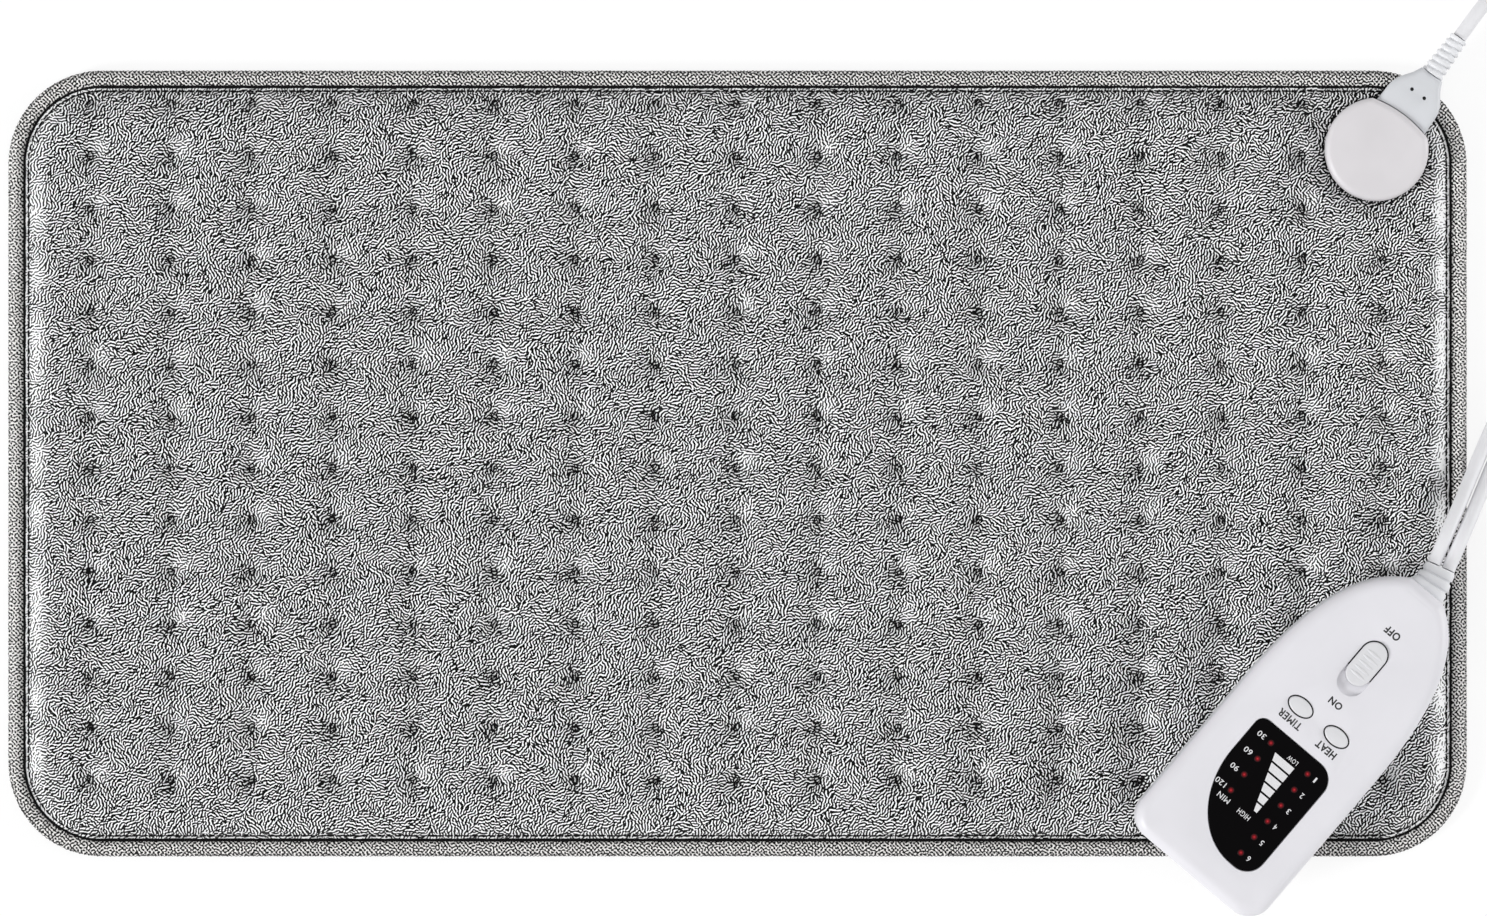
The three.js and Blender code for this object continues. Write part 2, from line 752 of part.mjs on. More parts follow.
function heatingWire() {
  const turn = heaterPitch / 2;
  const points = [at(heaterRight, heaterTop, heaterZ)];
  for (let row = 0; row < heaterRows; row += 1) {
    const y = heaterTop - row * heaterPitch;
    const leftwards = row % 2 === 0;
    const side = leftwards ? -1 : 1;
    const endX = leftwards ? heaterLeft + turn : heaterRight - turn;
    if (row === heaterRows - 1) {
      points.push(at(heaterRight, y, heaterZ));
      break;
    }
    for (let step = 0; step <= turnSteps; step += 1) {
      const angle = (Math.PI * step) / turnSteps;
      points.push(at(endX + side * turn * Math.sin(angle), y - turn + turn * Math.cos(angle), heaterZ));
    }
  }
  const section = circle(heaterDiameter, wireSides);
  const extrudePath = new CornerPath(points);
  return new THREE.ExtrudeGeometry(section, { steps: points.length - 1, extrudePath });
}

function thermostat(y) {
  const low = carrierTop + fit;
  const high = heaterZ + heaterDiameter / 2;
  const left = heaterRight + fit;
  const half = thermostatWidth / 2;
  const shape = roundedRectangle(left, left + thermostatLength, y - half, y + half, half / 2);
  return prism(shape, low, high);
}

const fromConnector = (x, y, z) => at(x, y, z).applyMatrix4(connector.matrix);

const leadX = heaterRight + fit + thermostatLength + fit;
const leadWay = (y, way) => way.map(([dx, dy]) => at(leadX + dx, y + dy, leadZ));

// A lead from a thermostat through the passage up to the back of a pin.
function heaterLead(y, way, pinX) {
  const points = [at(leadX, y, leadZ), ...way];
  const climb = plugMiddle - leadZ;
  points.push(fromConnector(pinX, -passageFar - leadApproach, leadZ));
  points.push(fromConnector(pinX, -passageFar, leadZ));
  for (const [into, share] of leadClimb) {
    points.push(fromConnector(pinX, into - passageFar, leadZ + share * climb));
  }
  points.push(fromConnector(pinX, pinBack - fit, plugMiddle));
  return tube(points, heaterLeadDiameter, heaterLeadSteps * (points.length - 1), wireSides);
}

place(heatingPad, "quilted_top_panel", quiltedTopPanel(), plush);
place(heatingPad, "back_panel", backPanel(), backCloth);
place(heatingPad, "edge_binding", edgeBinding(), tape);
place(heatingPad, "wadding_sheet", innerSheet(waddingBottom, waddingTop), fleece);
place(heatingPad, "heater_carrier", innerSheet(carrierBottom, carrierTop), carrierCloth);
place(heatingPad, "heating_wire", heatingWire(), heaterSheath);
place(heatingPad, "thermostat_near", thermostat(heaterTop), blackPlastic);
place(heatingPad, "thermostat_far", thermostat(-heaterTop), blackPlastic);
const nearWay = leadWay(heaterTop, leadFromNear);
const farWay = [...leadWay(-heaterTop, leadFromFar), ...leadWay(heaterTop, leadPastNear)];
place(heatingPad, "heater_lead_a", heaterLead(heaterTop, nearWay, -pinSpacing / 2), heaterSheath);
place(heatingPad, "heater_lead_b", heaterLead(-heaterTop, farWay, pinSpacing / 2), heaterSheath);

// Socket

const frontCentre = frontCrown - frontRadius;

// The round housing, flattened at the front by the shallow arc.
function socketOutline(distance) {
  const [round, front] = [socketRadius - distance, frontRadius - distance];
  const cornerY = (round ** 2 + frontCentre ** 2 - front ** 2) / (2 * frontCentre);
  const cornerX = Math.sqrt(round ** 2 - cornerY ** 2);
  const roundAngle = Math.atan2(cornerY, cornerX);
  const frontAngle = Math.atan2(cornerY - frontCentre, cornerX);
  const shape = new THREE.Shape();
  shape.absarc(0, frontCentre, front, frontAngle, Math.PI - frontAngle);
  shape.absarc(0, 0, round, Math.PI - roundAngle, 2 * Math.PI + roundAngle);
  return shape;
}

const tongueLow = plugMiddle - tongueHeight / 2;
const tongueHigh = plugMiddle + tongueHeight / 2;

function socketHousing() {
  const low = socketBottom - socketRounding;
  const shell = roundedPrism(socketOutline(0), low, socketTop, socketRounding, socketSteps);
  const roofUnderside = socketTop - socketWall;
  const intoRoof = roofUnderside + past / 2;
  const room = prism(socketOutline(socketWall), socketBottom - past, roofUnderside, socketSteps);
  const half = socketRadius - 2 * socketWall;
  const pinBlock = block(-half, half, pinBlockBack, pinBlockFront, socketBottom, intoRoof);
  const bosses = bothSides.map((side) =>
    post(side * socketScrewX, socketScrewY, socketBottom, intoRoof, socketBossRadius));
  const boreTop = socketBottom + socketScrewReach + fit;
  const bores = bothSides.map((side) =>
    post(side * socketScrewX, socketScrewY, 0, boreTop, socketScrewRadius + fit));
  const pinHoles = bothSides.map((side) =>
    bar((side * pinSpacing) / 2, pinBlockBack - past, pinBlockFront + past, plugMiddle, pinRadius + fit));
  const mouthHalf = tongueHalfWidth + fit;
  const [mouthLow, mouthHigh] = [tongueLow - fit, tongueHigh + fit];
  const mouth = block(-mouthHalf, mouthHalf, pinBlockFront, 2 * socketRadius, mouthLow, mouthHigh);
  const body = join(cut(shell, below(socketBottom), room), pinBlock, ...bosses);
  return cut(body, ...bores, ...pinHoles, mouth);
}

function socketClampPlate() {
  const low = backThickness + fit;
  const plate = post(0, 0, low, clampTop, clampRadius, largeSides);
  const half = passageHalfWidth;
  const slot = block(-half, half, -2 * clampRadius, -passageNear, low - past, clampTop + past);
  const sunk = low + socketScrewHead + fit;
  const heads = bothSides.map((side) =>
    post(side * socketScrewX, socketScrewY, low - past, sunk, socketScrewHeadRadius + fit));
  const holes = bothSides.map((side) =>
    post(side * socketScrewX, socketScrewY, low - past, clampTop + past, socketScrewRadius + fit));
  return cut(plate, slot, ...heads, ...holes);
}

function socketScrew(x) {
  const [low, tip] = [backThickness + fit, socketBottom + socketScrewReach];
  return screw(x, socketScrewY, low, socketScrewHead, socketScrewHeadRadius, socketScrewRadius, tip);
}

place(connector, "socket_housing", socketHousing(), socketShell);
place(connector, "socket_clamp_plate", socketClampPlate(), blackPlastic);
for (const [side, name] of [[-1, "left"], [1, "right"]]) {
  const pin = bar((side * pinSpacing) / 2, pinBack, pinFront, plugMiddle, pinRadius);
  place(connector, `socket_pin_${name}`, pin, brass);
  place(connector, `socket_screw_${name}`, socketScrew(side * socketScrewX), steel);
}

// Plug of the pad lead

const contactBore = pinRadius + fit;
const contactRadius = contactBore + contactWall;

function plugOutline() {
  const shape = new THREE.Shape();
  const [a, b] = [plugCurveA, plugCurveB];
  shape.moveTo(-plugBaseHalf, 0);
  shape.lineTo(plugBaseHalf, 0);
  shape.lineTo(plugShoulderHalf, plugShoulder);
  shape.bezierCurveTo(a.x, a.y, b.x, b.y, plugNeckHalf, plugEnd);
  shape.lineTo(-plugNeckHalf, plugEnd);
  shape.bezierCurveTo(-b.x, b.y, -a.x, a.y, -plugShoulderHalf, plugShoulder);
  return shape;
}

// One half of the plug: the moulding with its tongue, hollow for the contacts and the wires.
function plugShell(otherHalf) {
  const low = plugMiddle - plugHeight / 2;
  const high = plugMiddle + plugHeight / 2;
  const front = post(0, frontCentre, low - past, high + past, frontRadius + fit, frontSides);
  const moulding = cut(roundedPrism(plugOutline(), low, high, plugRounding, outlineSteps), front);
  const tongue = block(-tongueHalfWidth, tongueHalfWidth, tongueFront, plugShoulder, tongueLow, tongueHigh);
  const bores = bothSides.map((side) =>
    bar((side * pinSpacing) / 2, tongueFront - past, contactBack + fit, plugMiddle, contactRadius + fit));
  const [half, rise] = [chamberHalfWidth, chamberHeight / 2];
  const chamber = block(-half, half, contactBack, chamberEnd, plugMiddle - rise, plugMiddle + rise);
  const exit = bar(0, chamberEnd - past, plugEnd + past, plugMiddle, reliefNeckRadius + fit);
  const dots = bothSides.map((side) =>
    post((side * pinSpacing) / 2, plugDotY, high - plugDotDepth, high + past, plugDotRadius));
  return cut(join(moulding, tongue), ...bores, chamber, exit, ...dots, otherHalf);
}

const reliefStart = plugEnd + fit;
const reliefEnd = reliefStart + reliefLength;

// A ribbed sleeve with a neck through the plug's end and a flange behind it.
function plugStrainRelief() {
  const flangeEnd = chamberEnd - fit;
  const profile = [[0, flangeEnd - reliefFlange], [reliefFlangeRadius, flangeEnd - reliefFlange]];
  profile.push([reliefFlangeRadius, flangeEnd], [reliefNeckRadius, flangeEnd]);
  profile.push([reliefNeckRadius, reliefStart]);
  const pitch = reliefLength / (reliefRibs + reliefLand);
  const radiusAt = (y) => lerp(reliefRadiusStart, reliefRadiusEnd, (y - reliefStart) / reliefLength);
  profile.push([reliefRadiusStart, reliefStart]);
  for (let rib = 1; rib <= reliefRibs; rib += 1) {
    const start = reliefStart + rib * pitch - reliefGrooveWidth;
    const end = start + reliefGrooveWidth;
    profile.push([radiusAt(start), start], [radiusAt(start) - reliefGroove, start]);
    profile.push([radiusAt(end) - reliefGroove, end], [radiusAt(end), end]);
  }
  profile.push([reliefRadiusEnd, reliefEnd], [0, reliefEnd]);
  return turned(profile, roundSides).translate(0, 0, plugMiddle);
}

function plugContact(x) {
  const front = tongueFront + fit;
  const profile = [[contactBore, front], [contactRadius, front], [contactRadius, contactBack]];
  profile.push([contactBore, contactBack], [contactBore, front]);
  return turned(profile).translate(x, 0, plugMiddle);
}

place(connector, "plug_upper_shell", plugShell(below(plugMiddle + fit / 2)), socketShell);
place(connector, "plug_lower_shell", plugShell(above(plugMiddle - fit / 2)), socketShell);
place(connector, "plug_strain_relief", plugStrainRelief(), whiteRubber);
place(connector, "plug_contact_left", plugContact(-pinSpacing / 2), brass);
place(connector, "plug_contact_right", plugContact(pinSpacing / 2), brass);

// Controller shells

function controllerOutline() {
  const shape = new THREE.Shape();
  const [half, radius] = [controllerHalfWidth, controllerCornerRadius];
  const shoulder = controllerShoulder + archHandle;
  shape.moveTo(half, controllerShoulder);
  shape.bezierCurveTo(half, shoulder, archCurve.x, archCurve.y, neckHalf, controllerTip);
  shape.lineTo(-neckHalf, controllerTip);
  shape.bezierCurveTo(-archCurve.x, archCurve.y, -half, shoulder, -half, controllerShoulder);
  shape.lineTo(-half, radius - controllerTail);
  shape.absarc(radius - half, radius - controllerTail, radius, Math.PI, 1.5 * Math.PI);
  shape.absarc(half - radius, radius - controllerTail, radius, 1.5 * Math.PI, 2 * Math.PI);
  shape.lineTo(half, controllerShoulder);
  return shape;
}

function windowOutline() {
  const [topLeft, topRight, bottom] = [windowRadiusTopLeft, windowRadiusTopRight, windowRadiusBottom];
  const shape = new THREE.Shape();
  shape.absarc(windowRight - topRight, windowTop - topRight, topRight, 0, Math.PI / 2);
  shape.absarc(windowLeft + topLeft, windowTop - topLeft, topLeft, Math.PI / 2, Math.PI);
  const [reachX, reachY] = [windowSweep.x - windowLeft, windowSweep.y - windowBottom];
  shape.absellipse(windowSweep.x, windowSweep.y, reachX, reachY, Math.PI, 1.5 * Math.PI);
  shape.absarc(windowRight - bottom, windowBottom + bottom, bottom, 1.5 * Math.PI, 2 * Math.PI);
  return shape;
}

const caseScrews = [
  ["front_left", -frontScrew.x, frontScrew.y],
  ["front_right", frontScrew.x, frontScrew.y],
  ["rear_left", -rearScrew.x, rearScrew.y],
  ["rear_right", rearScrew.x, rearScrew.y],
];
const buttons = [["timer", timerButtonX], ["heat", heatButtonX]];

// The way out for the strain relief's neck, half in each shell.
function neckOpening() {
  const [half, rise] = [collarNeck.half + fit, collarNeck.rise + fit];
  const [low, high] = [controllerParting - rise, controllerParting + rise];
  return block(-half, half, controllerTip - 2 * wall, controllerTip + past, low, high);
}

function slideOpening() {
  const recess = obround(0, recessStart + recessLength / 2, recessWidth, recessLength);
  const stemHalf = stemWidth / 2 + knobGap;
  const stemFar = knobMiddle + stemLength / 2 + knobGap;
  const stemNear = knobMiddle - stemLength / 2 - knobGap - knobTravel;
  const slot = block(-stemHalf, stemHalf, stemNear, stemFar, roofUnder - past, recessFloor + past);
  return join(prism(recess, recessFloor, controllerHeight + past), slot);
}

function controllerTopShell() {
  const outline = controllerOutline();
  const low = lowerEdge - controllerTopRounding * 2;
  const outer = roundedPrism(outline, low, controllerHeight, controllerTopRounding, outlineSteps);
  const room = prism(inset(outline, wall), low - past, roofUnder);
  const bosses = caseScrews.map(([, x, y]) =>
    post(x, y, upperEdge, roofUnder + past / 2, bossRadius, roundSides));
  const boreTop = controllerParting + caseScrewReach + fit;
  const bores = caseScrews.map(([, x, y]) => post(x, y, 0, boreTop, caseScrewRadius + fit));
  const windowFloor = controllerHeight - windowSink - windowThickness - fit;
  const pocket = prism(inset(windowOutline(), -fit, windowSteps), windowFloor, controllerHeight + past);
  const light = prism(inset(windowOutline(), windowLedge, windowSteps), roofUnder - past, controllerHeight);
  const holes = buttons.map(([, x]) => {
    const hole = obround(x, buttonY, buttonHoleLength, buttonHoleWidth);
    return prism(hole, roofUnder - past, controllerHeight + past);
  });
  const shell = join(cut(outer, room, below(upperEdge)), ...bosses);
  return cut(shell, ...bores, pocket, light, ...holes, slideOpening(), neckOpening());
}

const wireSeat = controllerParting - innerWireDiameter / 2 - fit;

function controllerBottomShell() {
  const outline = controllerOutline();
  const high = lowerEdge + controllerBottomRounding * 2;
  const outer = roundedPrism(outline, 0, high, controllerBottomRounding, outlineSteps);
  const room = prism(inset(outline, wall), base, high + past);
  const bosses = caseScrews.map(([, x, y]) =>
    post(x, y, base - past / 2, lowerEdge, bossRadius, roundSides));
  const heads = caseScrews.map(([, x, y]) =>
    post(x, y, -past, caseHeadSink + caseHead + fit, caseHeadRadius + fit, roundSides));
  const bores = caseScrews.map(([, x, y]) => post(x, y, 0, lowerEdge + past, caseScrewRadius + fit));
  const pillars = [-pillarX, pillarX].flatMap((x) =>
    [pillarFront, pillarRear].map((y) => post(x, y, base - past / 2, hangTop, pillarRadius)));
  const [near, far] = [clampY - clampLength / 2, clampY + clampLength / 2];
  const saddle = block(-clampHalf, clampHalf, near, far, base - past / 2, wireSeat);
  const boreBottom = wireSeat - clampScrewReach - fit;
  const clampBores = bothSides.map((side) =>
    post(side * clampScrewX, clampY, boreBottom, wireSeat + past, clampScrewRadius + fit));
  const shell = cut(outer, room, above(lowerEdge));
  return cut(join(shell, ...bosses, ...pillars, saddle), ...heads, ...bores, ...clampBores, neckOpening());
}

function caseScrew(x, y) {
  const tip = controllerParting + caseScrewReach;
  return screw(x, y, caseHeadSink, caseHead, caseHeadRadius, caseScrewRadius, tip);
}

place(controller, "controller_top_shell", controllerTopShell(), whiteShell);
place(controller, "controller_bottom_shell", controllerBottomShell(), whiteShell);
for (const [name, x, y] of caseScrews) place(controller, `case_screw_${name}`, caseScrew(x, y), steel);

// Display

function displayWindow() {
  const top = controllerHeight - windowSink;
  return prism(windowOutline(), top - windowThickness, top);
}

const ledPlaces = (x, count) => Array.from({ length: count }, (_, i) => [x, ledFirst - i * ledPitch]);

// A light box: a deck with one hole over each lamp, and a skirt that stands on the board.
function ledFrame() {
  const outline = inset(windowOutline(), windowLedge, windowSteps);
  const full = prism(outline, restOnBoard, roofUnder - fit);
  const room = prism(inset(outline, frameSkirt, 1), restOnBoard - past, deckUnder);
  const places = [...ledPlaces(timerLedX, timerLeds), ...ledPlaces(heatLedX, heatLeds)];
  const holes = places.map(([x, y]) => post(x, y, deckUnder - past, roofUnder + past, ledRadius + fit));
  return cut(full, room, ...holes);
}

function ledBar(x, count) {
  const half = ledBarWidth / 2;
  const lowest = ledFirst - (count - 1) * ledPitch - ledBarOverhang;
  const barTop = restOnBoard + ledBarThickness;
  const strip = block(x - half, x + half, lowest, ledFirst + ledBarOverhang, restOnBoard, barTop);
  const lamps = ledPlaces(x, count).map(([lampX, y]) =>
    post(lampX, y, restOnBoard, deckUnder + ledReach, ledRadius));
  return join(strip, ...lamps);
}

place(controller, "display_window", displayWindow(), blackGloss);
place(controller, "led_frame", ledFrame(), blackPlastic);
place(controller, "timer_led_bar", ledBar(timerLedX, timerLeds), redLamp);
place(controller, "heat_led_bar", ledBar(heatLedX, heatLeds), redLamp);

// Push buttons

function pushButton(x) {
  const length = buttonHoleLength - 2 * buttonGap;
  const width = buttonHoleWidth - 2 * buttonGap;
  const top = controllerHeight + buttonProud;
  const cap = roundedPrism(obround(x, buttonY, length, width), buttonFlangeBottom, top, buttonRounding);
  const overlap = 2 * buttonFlangeOverlap;
  const plate = obround(x, buttonY, buttonHoleLength + overlap, buttonHoleWidth + overlap);
  return join(cap, prism(plate, buttonFlangeBottom, buttonFlangeTop));
}

function switchBody(x) {
  const half = switchSize / 2;
  const body = block(x - half, x + half, buttonY - half, buttonY + half, restOnBoard, switchTop);
  const wellFloor = plungerBottom - buttonTravel - fit;
  return cut(body, post(x, buttonY, wellFloor, switchTop + past, plungerRadius + fit));
}

for (const [name, x] of buttons) {
  place(controller, `${name}_button`, pushButton(x), whiteButton);
  place(controller, `${name}_switch_body`, switchBody(x), blackPlastic);
  const plunger = post(x, buttonY, plungerBottom, plungerTop, plungerRadius);
  place(controller, `${name}_switch_plunger`, plunger, whiteButton);
}

// Power slide switch

function powerKnob() {
  const width = recessWidth - 2 * knobGap;
  const low = recessFloor + fit;
  const high = controllerHeight + knobProud;
  const body = roundedPrism(obround(0, knobMiddle, width, knobLength), low, high, knobRounding);
  const half = width / 2 - knobRounding;
  const ribs = Array.from({ length: knobRibs }, (_, i) => {
    const y = knobMiddle + (i - (knobRibs - 1) / 2) * knobRibPitch;
    const ribHalf = knobRibWidth / 2;
    return block(-half, half, y - ribHalf, y + ribHalf, high - knobRounding, high + knobRibHeight);
  });
  const [stemX, stemY] = [stemWidth / 2, stemLength / 2];
  const stemTop = low + knobRounding + fit;
  const stem = block(-stemX, stemX, knobMiddle - stemY, knobMiddle + stemY, stemBottom, stemTop);
  const grip = leverSize / 2 + fit;
  const [near, far] = [knobMiddle - grip, knobMiddle + grip];
  const pocket = block(-grip, grip, near, far, stemBottom - past, leverTop + fit);
  return cut(join(body, stem, ...ribs), pocket);
}

// A washer on the stem, under the roof.
function knobRetainer() {
  const [x, y] = [stemWidth / 2, stemLength / 2];
  const [low, high] = [roofUnder - fit - retainerThickness, roofUnder - fit];
  const [outX, outY] = [x + retainerMargin, y + retainerMargin];
  const plate = block(-outX, outX, knobMiddle - outY, knobMiddle + outY, low, high);
  const [inX, inY] = [x + fit, y + fit];
  const hole = block(-inX, inX, knobMiddle - inY, knobMiddle + inY, low - past, high + past);
  return cut(plate, hole);
}

const leverFloor = sliderTop - leverDepth;

function slideSwitchBody() {
  const middle = knobMiddle - knobTravel / 2;
  const [x, y] = [sliderWidth / 2, sliderLength / 2];
  const body = block(-x, x, middle - y, middle + y, restOnBoard, sliderTop);
  const half = leverSize / 2 + fit;
  const [near, far] = [knobMiddle - knobTravel - half, knobMiddle + half];
  return cut(body, block(-half, half, near, far, leverFloor, sliderTop + past));
}

function slideSwitchLever() {
  const half = leverSize / 2;
  return block(-half, half, knobMiddle - half, knobMiddle + half, leverFloor + fit, leverTop);
}

place(controller, "power_knob", powerKnob(), whiteButton);
place(controller, "knob_retainer", knobRetainer(), steel);
place(controller, "slide_switch_body", slideSwitchBody(), steel);
place(controller, "slide_switch_lever", slideSwitchLever(), blackPlastic);

// Circuit board and the parts under it

function circuitBoard() {
  const board = prism(inset(controllerOutline(), wall + boardGap), boardBottom, boardTop);
  const end = block(-farOff, farOff, boardEnd, farOff, boardBottom - past, boardTop + past);
  const notches = caseScrews.map(([, x, y]) =>
    post(x, y, boardBottom - past, boardTop + past, bossRadius + boardNotch, roundSides));
  return cut(board, end, ...notches);
}

function underBoard({ x, y, width, length, height }) {
  return block(x - width / 2, x + width / 2, y - length / 2, y + length / 2, hangTop - height, hangTop);
}

function storageCan() {
  const { x, y, radius, length } = storageCapacitor;
  return bar(x, y - length / 2, y + length / 2, hangTop - radius, radius, 2 * smallSides);
}

// A flat package with its taller metal tab behind.
function triacPackage() {
  const tabHeight = hangTop - base - triacTab.gap;
  const tab = { ...triac, y: triac.y + triac.length / 2, length: triacTab.length, height: tabHeight };
  return join(underBoard({ ...triac, height: tabHeight - triacTab.rise }), underBoard(tab));
}

place(controller, "circuit_board", circuitBoard(), boardGreen);
place(controller, "film_capacitor", underBoard(filmCapacitor), yellowPart);
place(controller, "storage_capacitor", storageCan(), blackPlastic);
place(controller, "power_triac", triacPackage(), blackPlastic);
place(controller, "micro_chip", underBoard(chip), blackPlastic);

// Cord entry

const collarPath = new THREE.QuadraticBezierCurve3(
  at(0, controllerTip + fit, controllerParting),
  at(0, collarCurve, controllerParting),
  at(collarLean, collarEnd, controllerParting),
);

// Flange inside the shells, neck through the opening, then the ribbed collar that leans with the cords.
function controllerStrainRelief() {
  const ahead = at(0, 1, 0);
  const flangeFront = controllerTip - wall - fit;
  const rings = [];
  const section = (centre, direction, half, rise) =>
    rings.push(ring(centre, direction, half, rise, roundSides, collarPower));
  const straight = (y, { half, rise }) => section(at(0, y, controllerParting), ahead, half, rise);
  straight(flangeFront - collarFlange.thickness, collarFlange);
  straight(flangeFront, collarFlange);
  straight(flangeFront, collarNeck);
  straight(controllerTip + fit, collarNeck);
  const bent = (t, depth) => {
    const half = lerp(collarRoot.half, collarTip.half, t) - depth;
    const rise = lerp(collarRoot.rise, collarTip.rise, t) - depth;
    section(collarPath.getPoint(t), collarPath.getTangent(t), half, rise);
  };
  bent(0, 0);
  const grooveHalf = collarGrooveWidth / (collarEnd - controllerTip) / 2;
  for (let groove = 1; groove <= collarGrooves; groove += 1) {
    const t = groove / (collarGrooves + 1);
    bent(t - grooveHalf, 0);
    bent(t - grooveHalf, collarGrooveDepth);
    bent(t + grooveHalf, collarGrooveDepth);
    bent(t + grooveHalf, 0);
  }
  bent(1, 0);
  return loft(rings);
}

const wireTop = controllerParting + innerWireDiameter / 2 + fit;
const clampLegBottom = wireSeat + fit;

function cordClamp() {
  const [near, far] = [clampY - clampLength / 2, clampY + clampLength / 2];
  const bridge = block(-clampHalf, clampHalf, near, far, clampLegBottom, wireTop + clampBridge);
  const half = clampChannelHalf;
  const channel = block(-half, half, near - past, far + past, clampLegBottom - past, wireTop);
  const holes = bothSides.map((side) =>
    post(side * clampScrewX, clampY, 0, wireTop + clampBridge + past, clampScrewRadius + fit));
  return cut(bridge, channel, ...holes);
}

function clampScrew(x) {
  const headLow = wireTop + clampBridge + fit;
  const tip = wireSeat - clampScrewReach;
  const [head, shank] = [clampScrewHeadRadius, clampScrewRadius];
  const profile = [[0, tip], [shank, tip], [shank, headLow], [head, headLow]];
  profile.push([head, headLow + clampScrewHead], [0, headLow + clampScrewHead]);
  return turned(profile).rotateX(Math.PI / 2).translate(x, clampY, 0);
}

// A stripped cord end from the collar through the clamp, up to the board's underside.
function innerWire(side) {
  const start = controllerTip - wall - fit - collarFlange.thickness - fit;
  const x = side * innerWireX;
  const points = [at(x, start, controllerParting), at(x, clampY, controllerParting)];
  for (const [spread, into, rise] of wireWay) {
    points.push(at(x * spread, boardEnd - into, controllerParting + rise));
  }
  const [footX, footY] = [x * wireFoot.spread, boardEnd - wireFoot.into];
  points.push(at(footX, footY, hangTop - wireFoot.length), at(footX, footY, hangTop - fit));
  return tube(points, innerWireDiameter, innerWireSteps, wireSides);
}

place(controller, "controller_strain_relief", controllerStrainRelief(), whiteRubber);
place(controller, "cord_clamp", cordClamp(), blackPlastic);
place(controller, "clamp_screw_left", clampScrew(-clampScrewX), steel);
place(controller, "clamp_screw_right", clampScrew(clampScrewX), steel);
place(controller, "heater_wire", innerWire(-1), whiteCord);
place(controller, "mains_wire", innerWire(1), whiteCord);

// Cords

// A point on a cord that leaves the controller's collar: side is -1 for the pad lead, 1 for the mains.
function fromCollar(side, [ahead, share]) {
  const direction = collarPath.getTangent(1);
  const across = new THREE.Vector3(direction.y, -direction.x, 0);
  const point = collarPath.getPoint(1).addScaledVector(across, (side * cordSpacing) / 2);
  point.addScaledVector(direction, fit + ahead);
  point.add(at(0, 0, -share * collarHeight));
  return point.applyMatrix4(controller.matrix);
}

const onFloor = (route) => route.map(([x, y, z = cordFloor]) => at(padLength / 2 + x, y, z));

function padLead() {
  const start = reliefEnd + fit;
  const points = [fromConnector(0, start, plugMiddle)];
  points.push(fromConnector(0, start + leadDroop.length, plugMiddle - leadDroop.drop));
  points.push(...onFloor(leadRoute), fromCollar(-1, leadLanding));
  points.push(...collarDrop.toReversed().map((step) => fromCollar(-1, step)));
  return tube(points, cordDiameter, leadSteps);
}

function mainsRun() {
  const points = collarDrop.map((step) => fromCollar(1, step));
  points.push(fromCollar(1, mainsLanding), ...onFloor(mainsRoute));
  points.push(at(coilX, coilY + coilApproach, (cordFloor + coilLow) / 2));
  points.push(at(coilX, coilY + 2 * cordDiameter, coilLow), at(coilX, coilY + cordDiameter + fit, coilLow));
  return tube(points, cordDiameter, mainsSteps);
}

function mainsTail() {
  const along = (share, z) => at(coilX, tailStart - share * tailLength, z);
  const points = [along(0, coilHigh), along(1 / 5, coilHigh), along(1 / 2, (coilHigh + plugAxis) / 2)];
  points.push(along(4 / 5, plugAxis), along(1, plugAxis));
  return tube(points, cordDiameter, tailSteps);
}

// Turns that spiral in on the floor, climb in the half turn where they reverse, and spiral out on top.
function coilPoints() {
  const whole = 2 * Math.PI * coilLoops;
  const steps = coilLoops * coilStepsPerLoop;
  const points = [at(coilX, coilY + cordDiameter, coilLow)];
  for (let step = 0; step <= steps; step += 1) {
    const turn = (whole * step) / steps;
    const beyond = turn - whole / 2;
    const radius = coilInner + (coilPitch * Math.abs(beyond)) / (2 * Math.PI);
    const z = coilLow + coilLayer * smoothstep(beyond, -Math.PI / 2, Math.PI / 2);
    points.push(at(coilMiddleX + radius * Math.cos(turn), coilY - radius * Math.sin(turn), z));
  }
  points.push(at(coilX, coilY - cordDiameter, coilHigh));
  return points;
}

function mainsCoil(points) {
  const rings = points.map((point, i) => {
    const before = points[Math.max(i - 1, 0)];
    const after = points[Math.min(i + 1, points.length - 1)];
    const direction = after.clone().sub(before).normalize();
    return ring(point, direction, cordDiameter / 2, cordDiameter / 2, coilSides);
  });
  return loft(rings);
}

// The least distance between the skins of two turns.
function leastGap(points) {
  let least = Infinity;
  const apart = coilStepsPerLoop / 2;
  for (let i = 0; i < points.length; i += 1) {
    for (let j = i + apart; j < points.length; j += 1) {
      least = Math.min(least, points[i].distanceTo(points[j]) - cordDiameter);
    }
  }
  return least;
}

// A flat band round all turns, where they cross the line from the coil's middle towards -Y.
function coilTie() {
  const near = coilInner + coilPitch / 4 - cordDiameter / 2 - tieSlack;
  const far = coilOuter - coilPitch / 4 + cordDiameter / 2 + tieSlack;
  const low = coilLow - cordDiameter / 2 - fit;
  const high = coilHigh + cordDiameter / 2 + fit;
  const [y0, y1] = [coilY - far, coilY - near];
  const outer = tieThickness;
  const band = roundedRectangle(y0 - outer, y1 + outer, low - outer, high + outer, 2 * outer);
  band.holes.push(roundedRectangle(y0, y1, low, high, outer));
  const turnUp = new THREE.Matrix4().makeBasis(at(0, 1, 0), at(0, 0, 1), at(1, 0, 0));
  return prism(band, 0, tieWidth).applyMatrix4(turnUp).translate(coilMiddleX - tieWidth / 2, 0, 0);
}

const turns = coilPoints();
console.log(`least gap between turns of mains_coil: ${leastGap(turns).toFixed(2)} mm`);

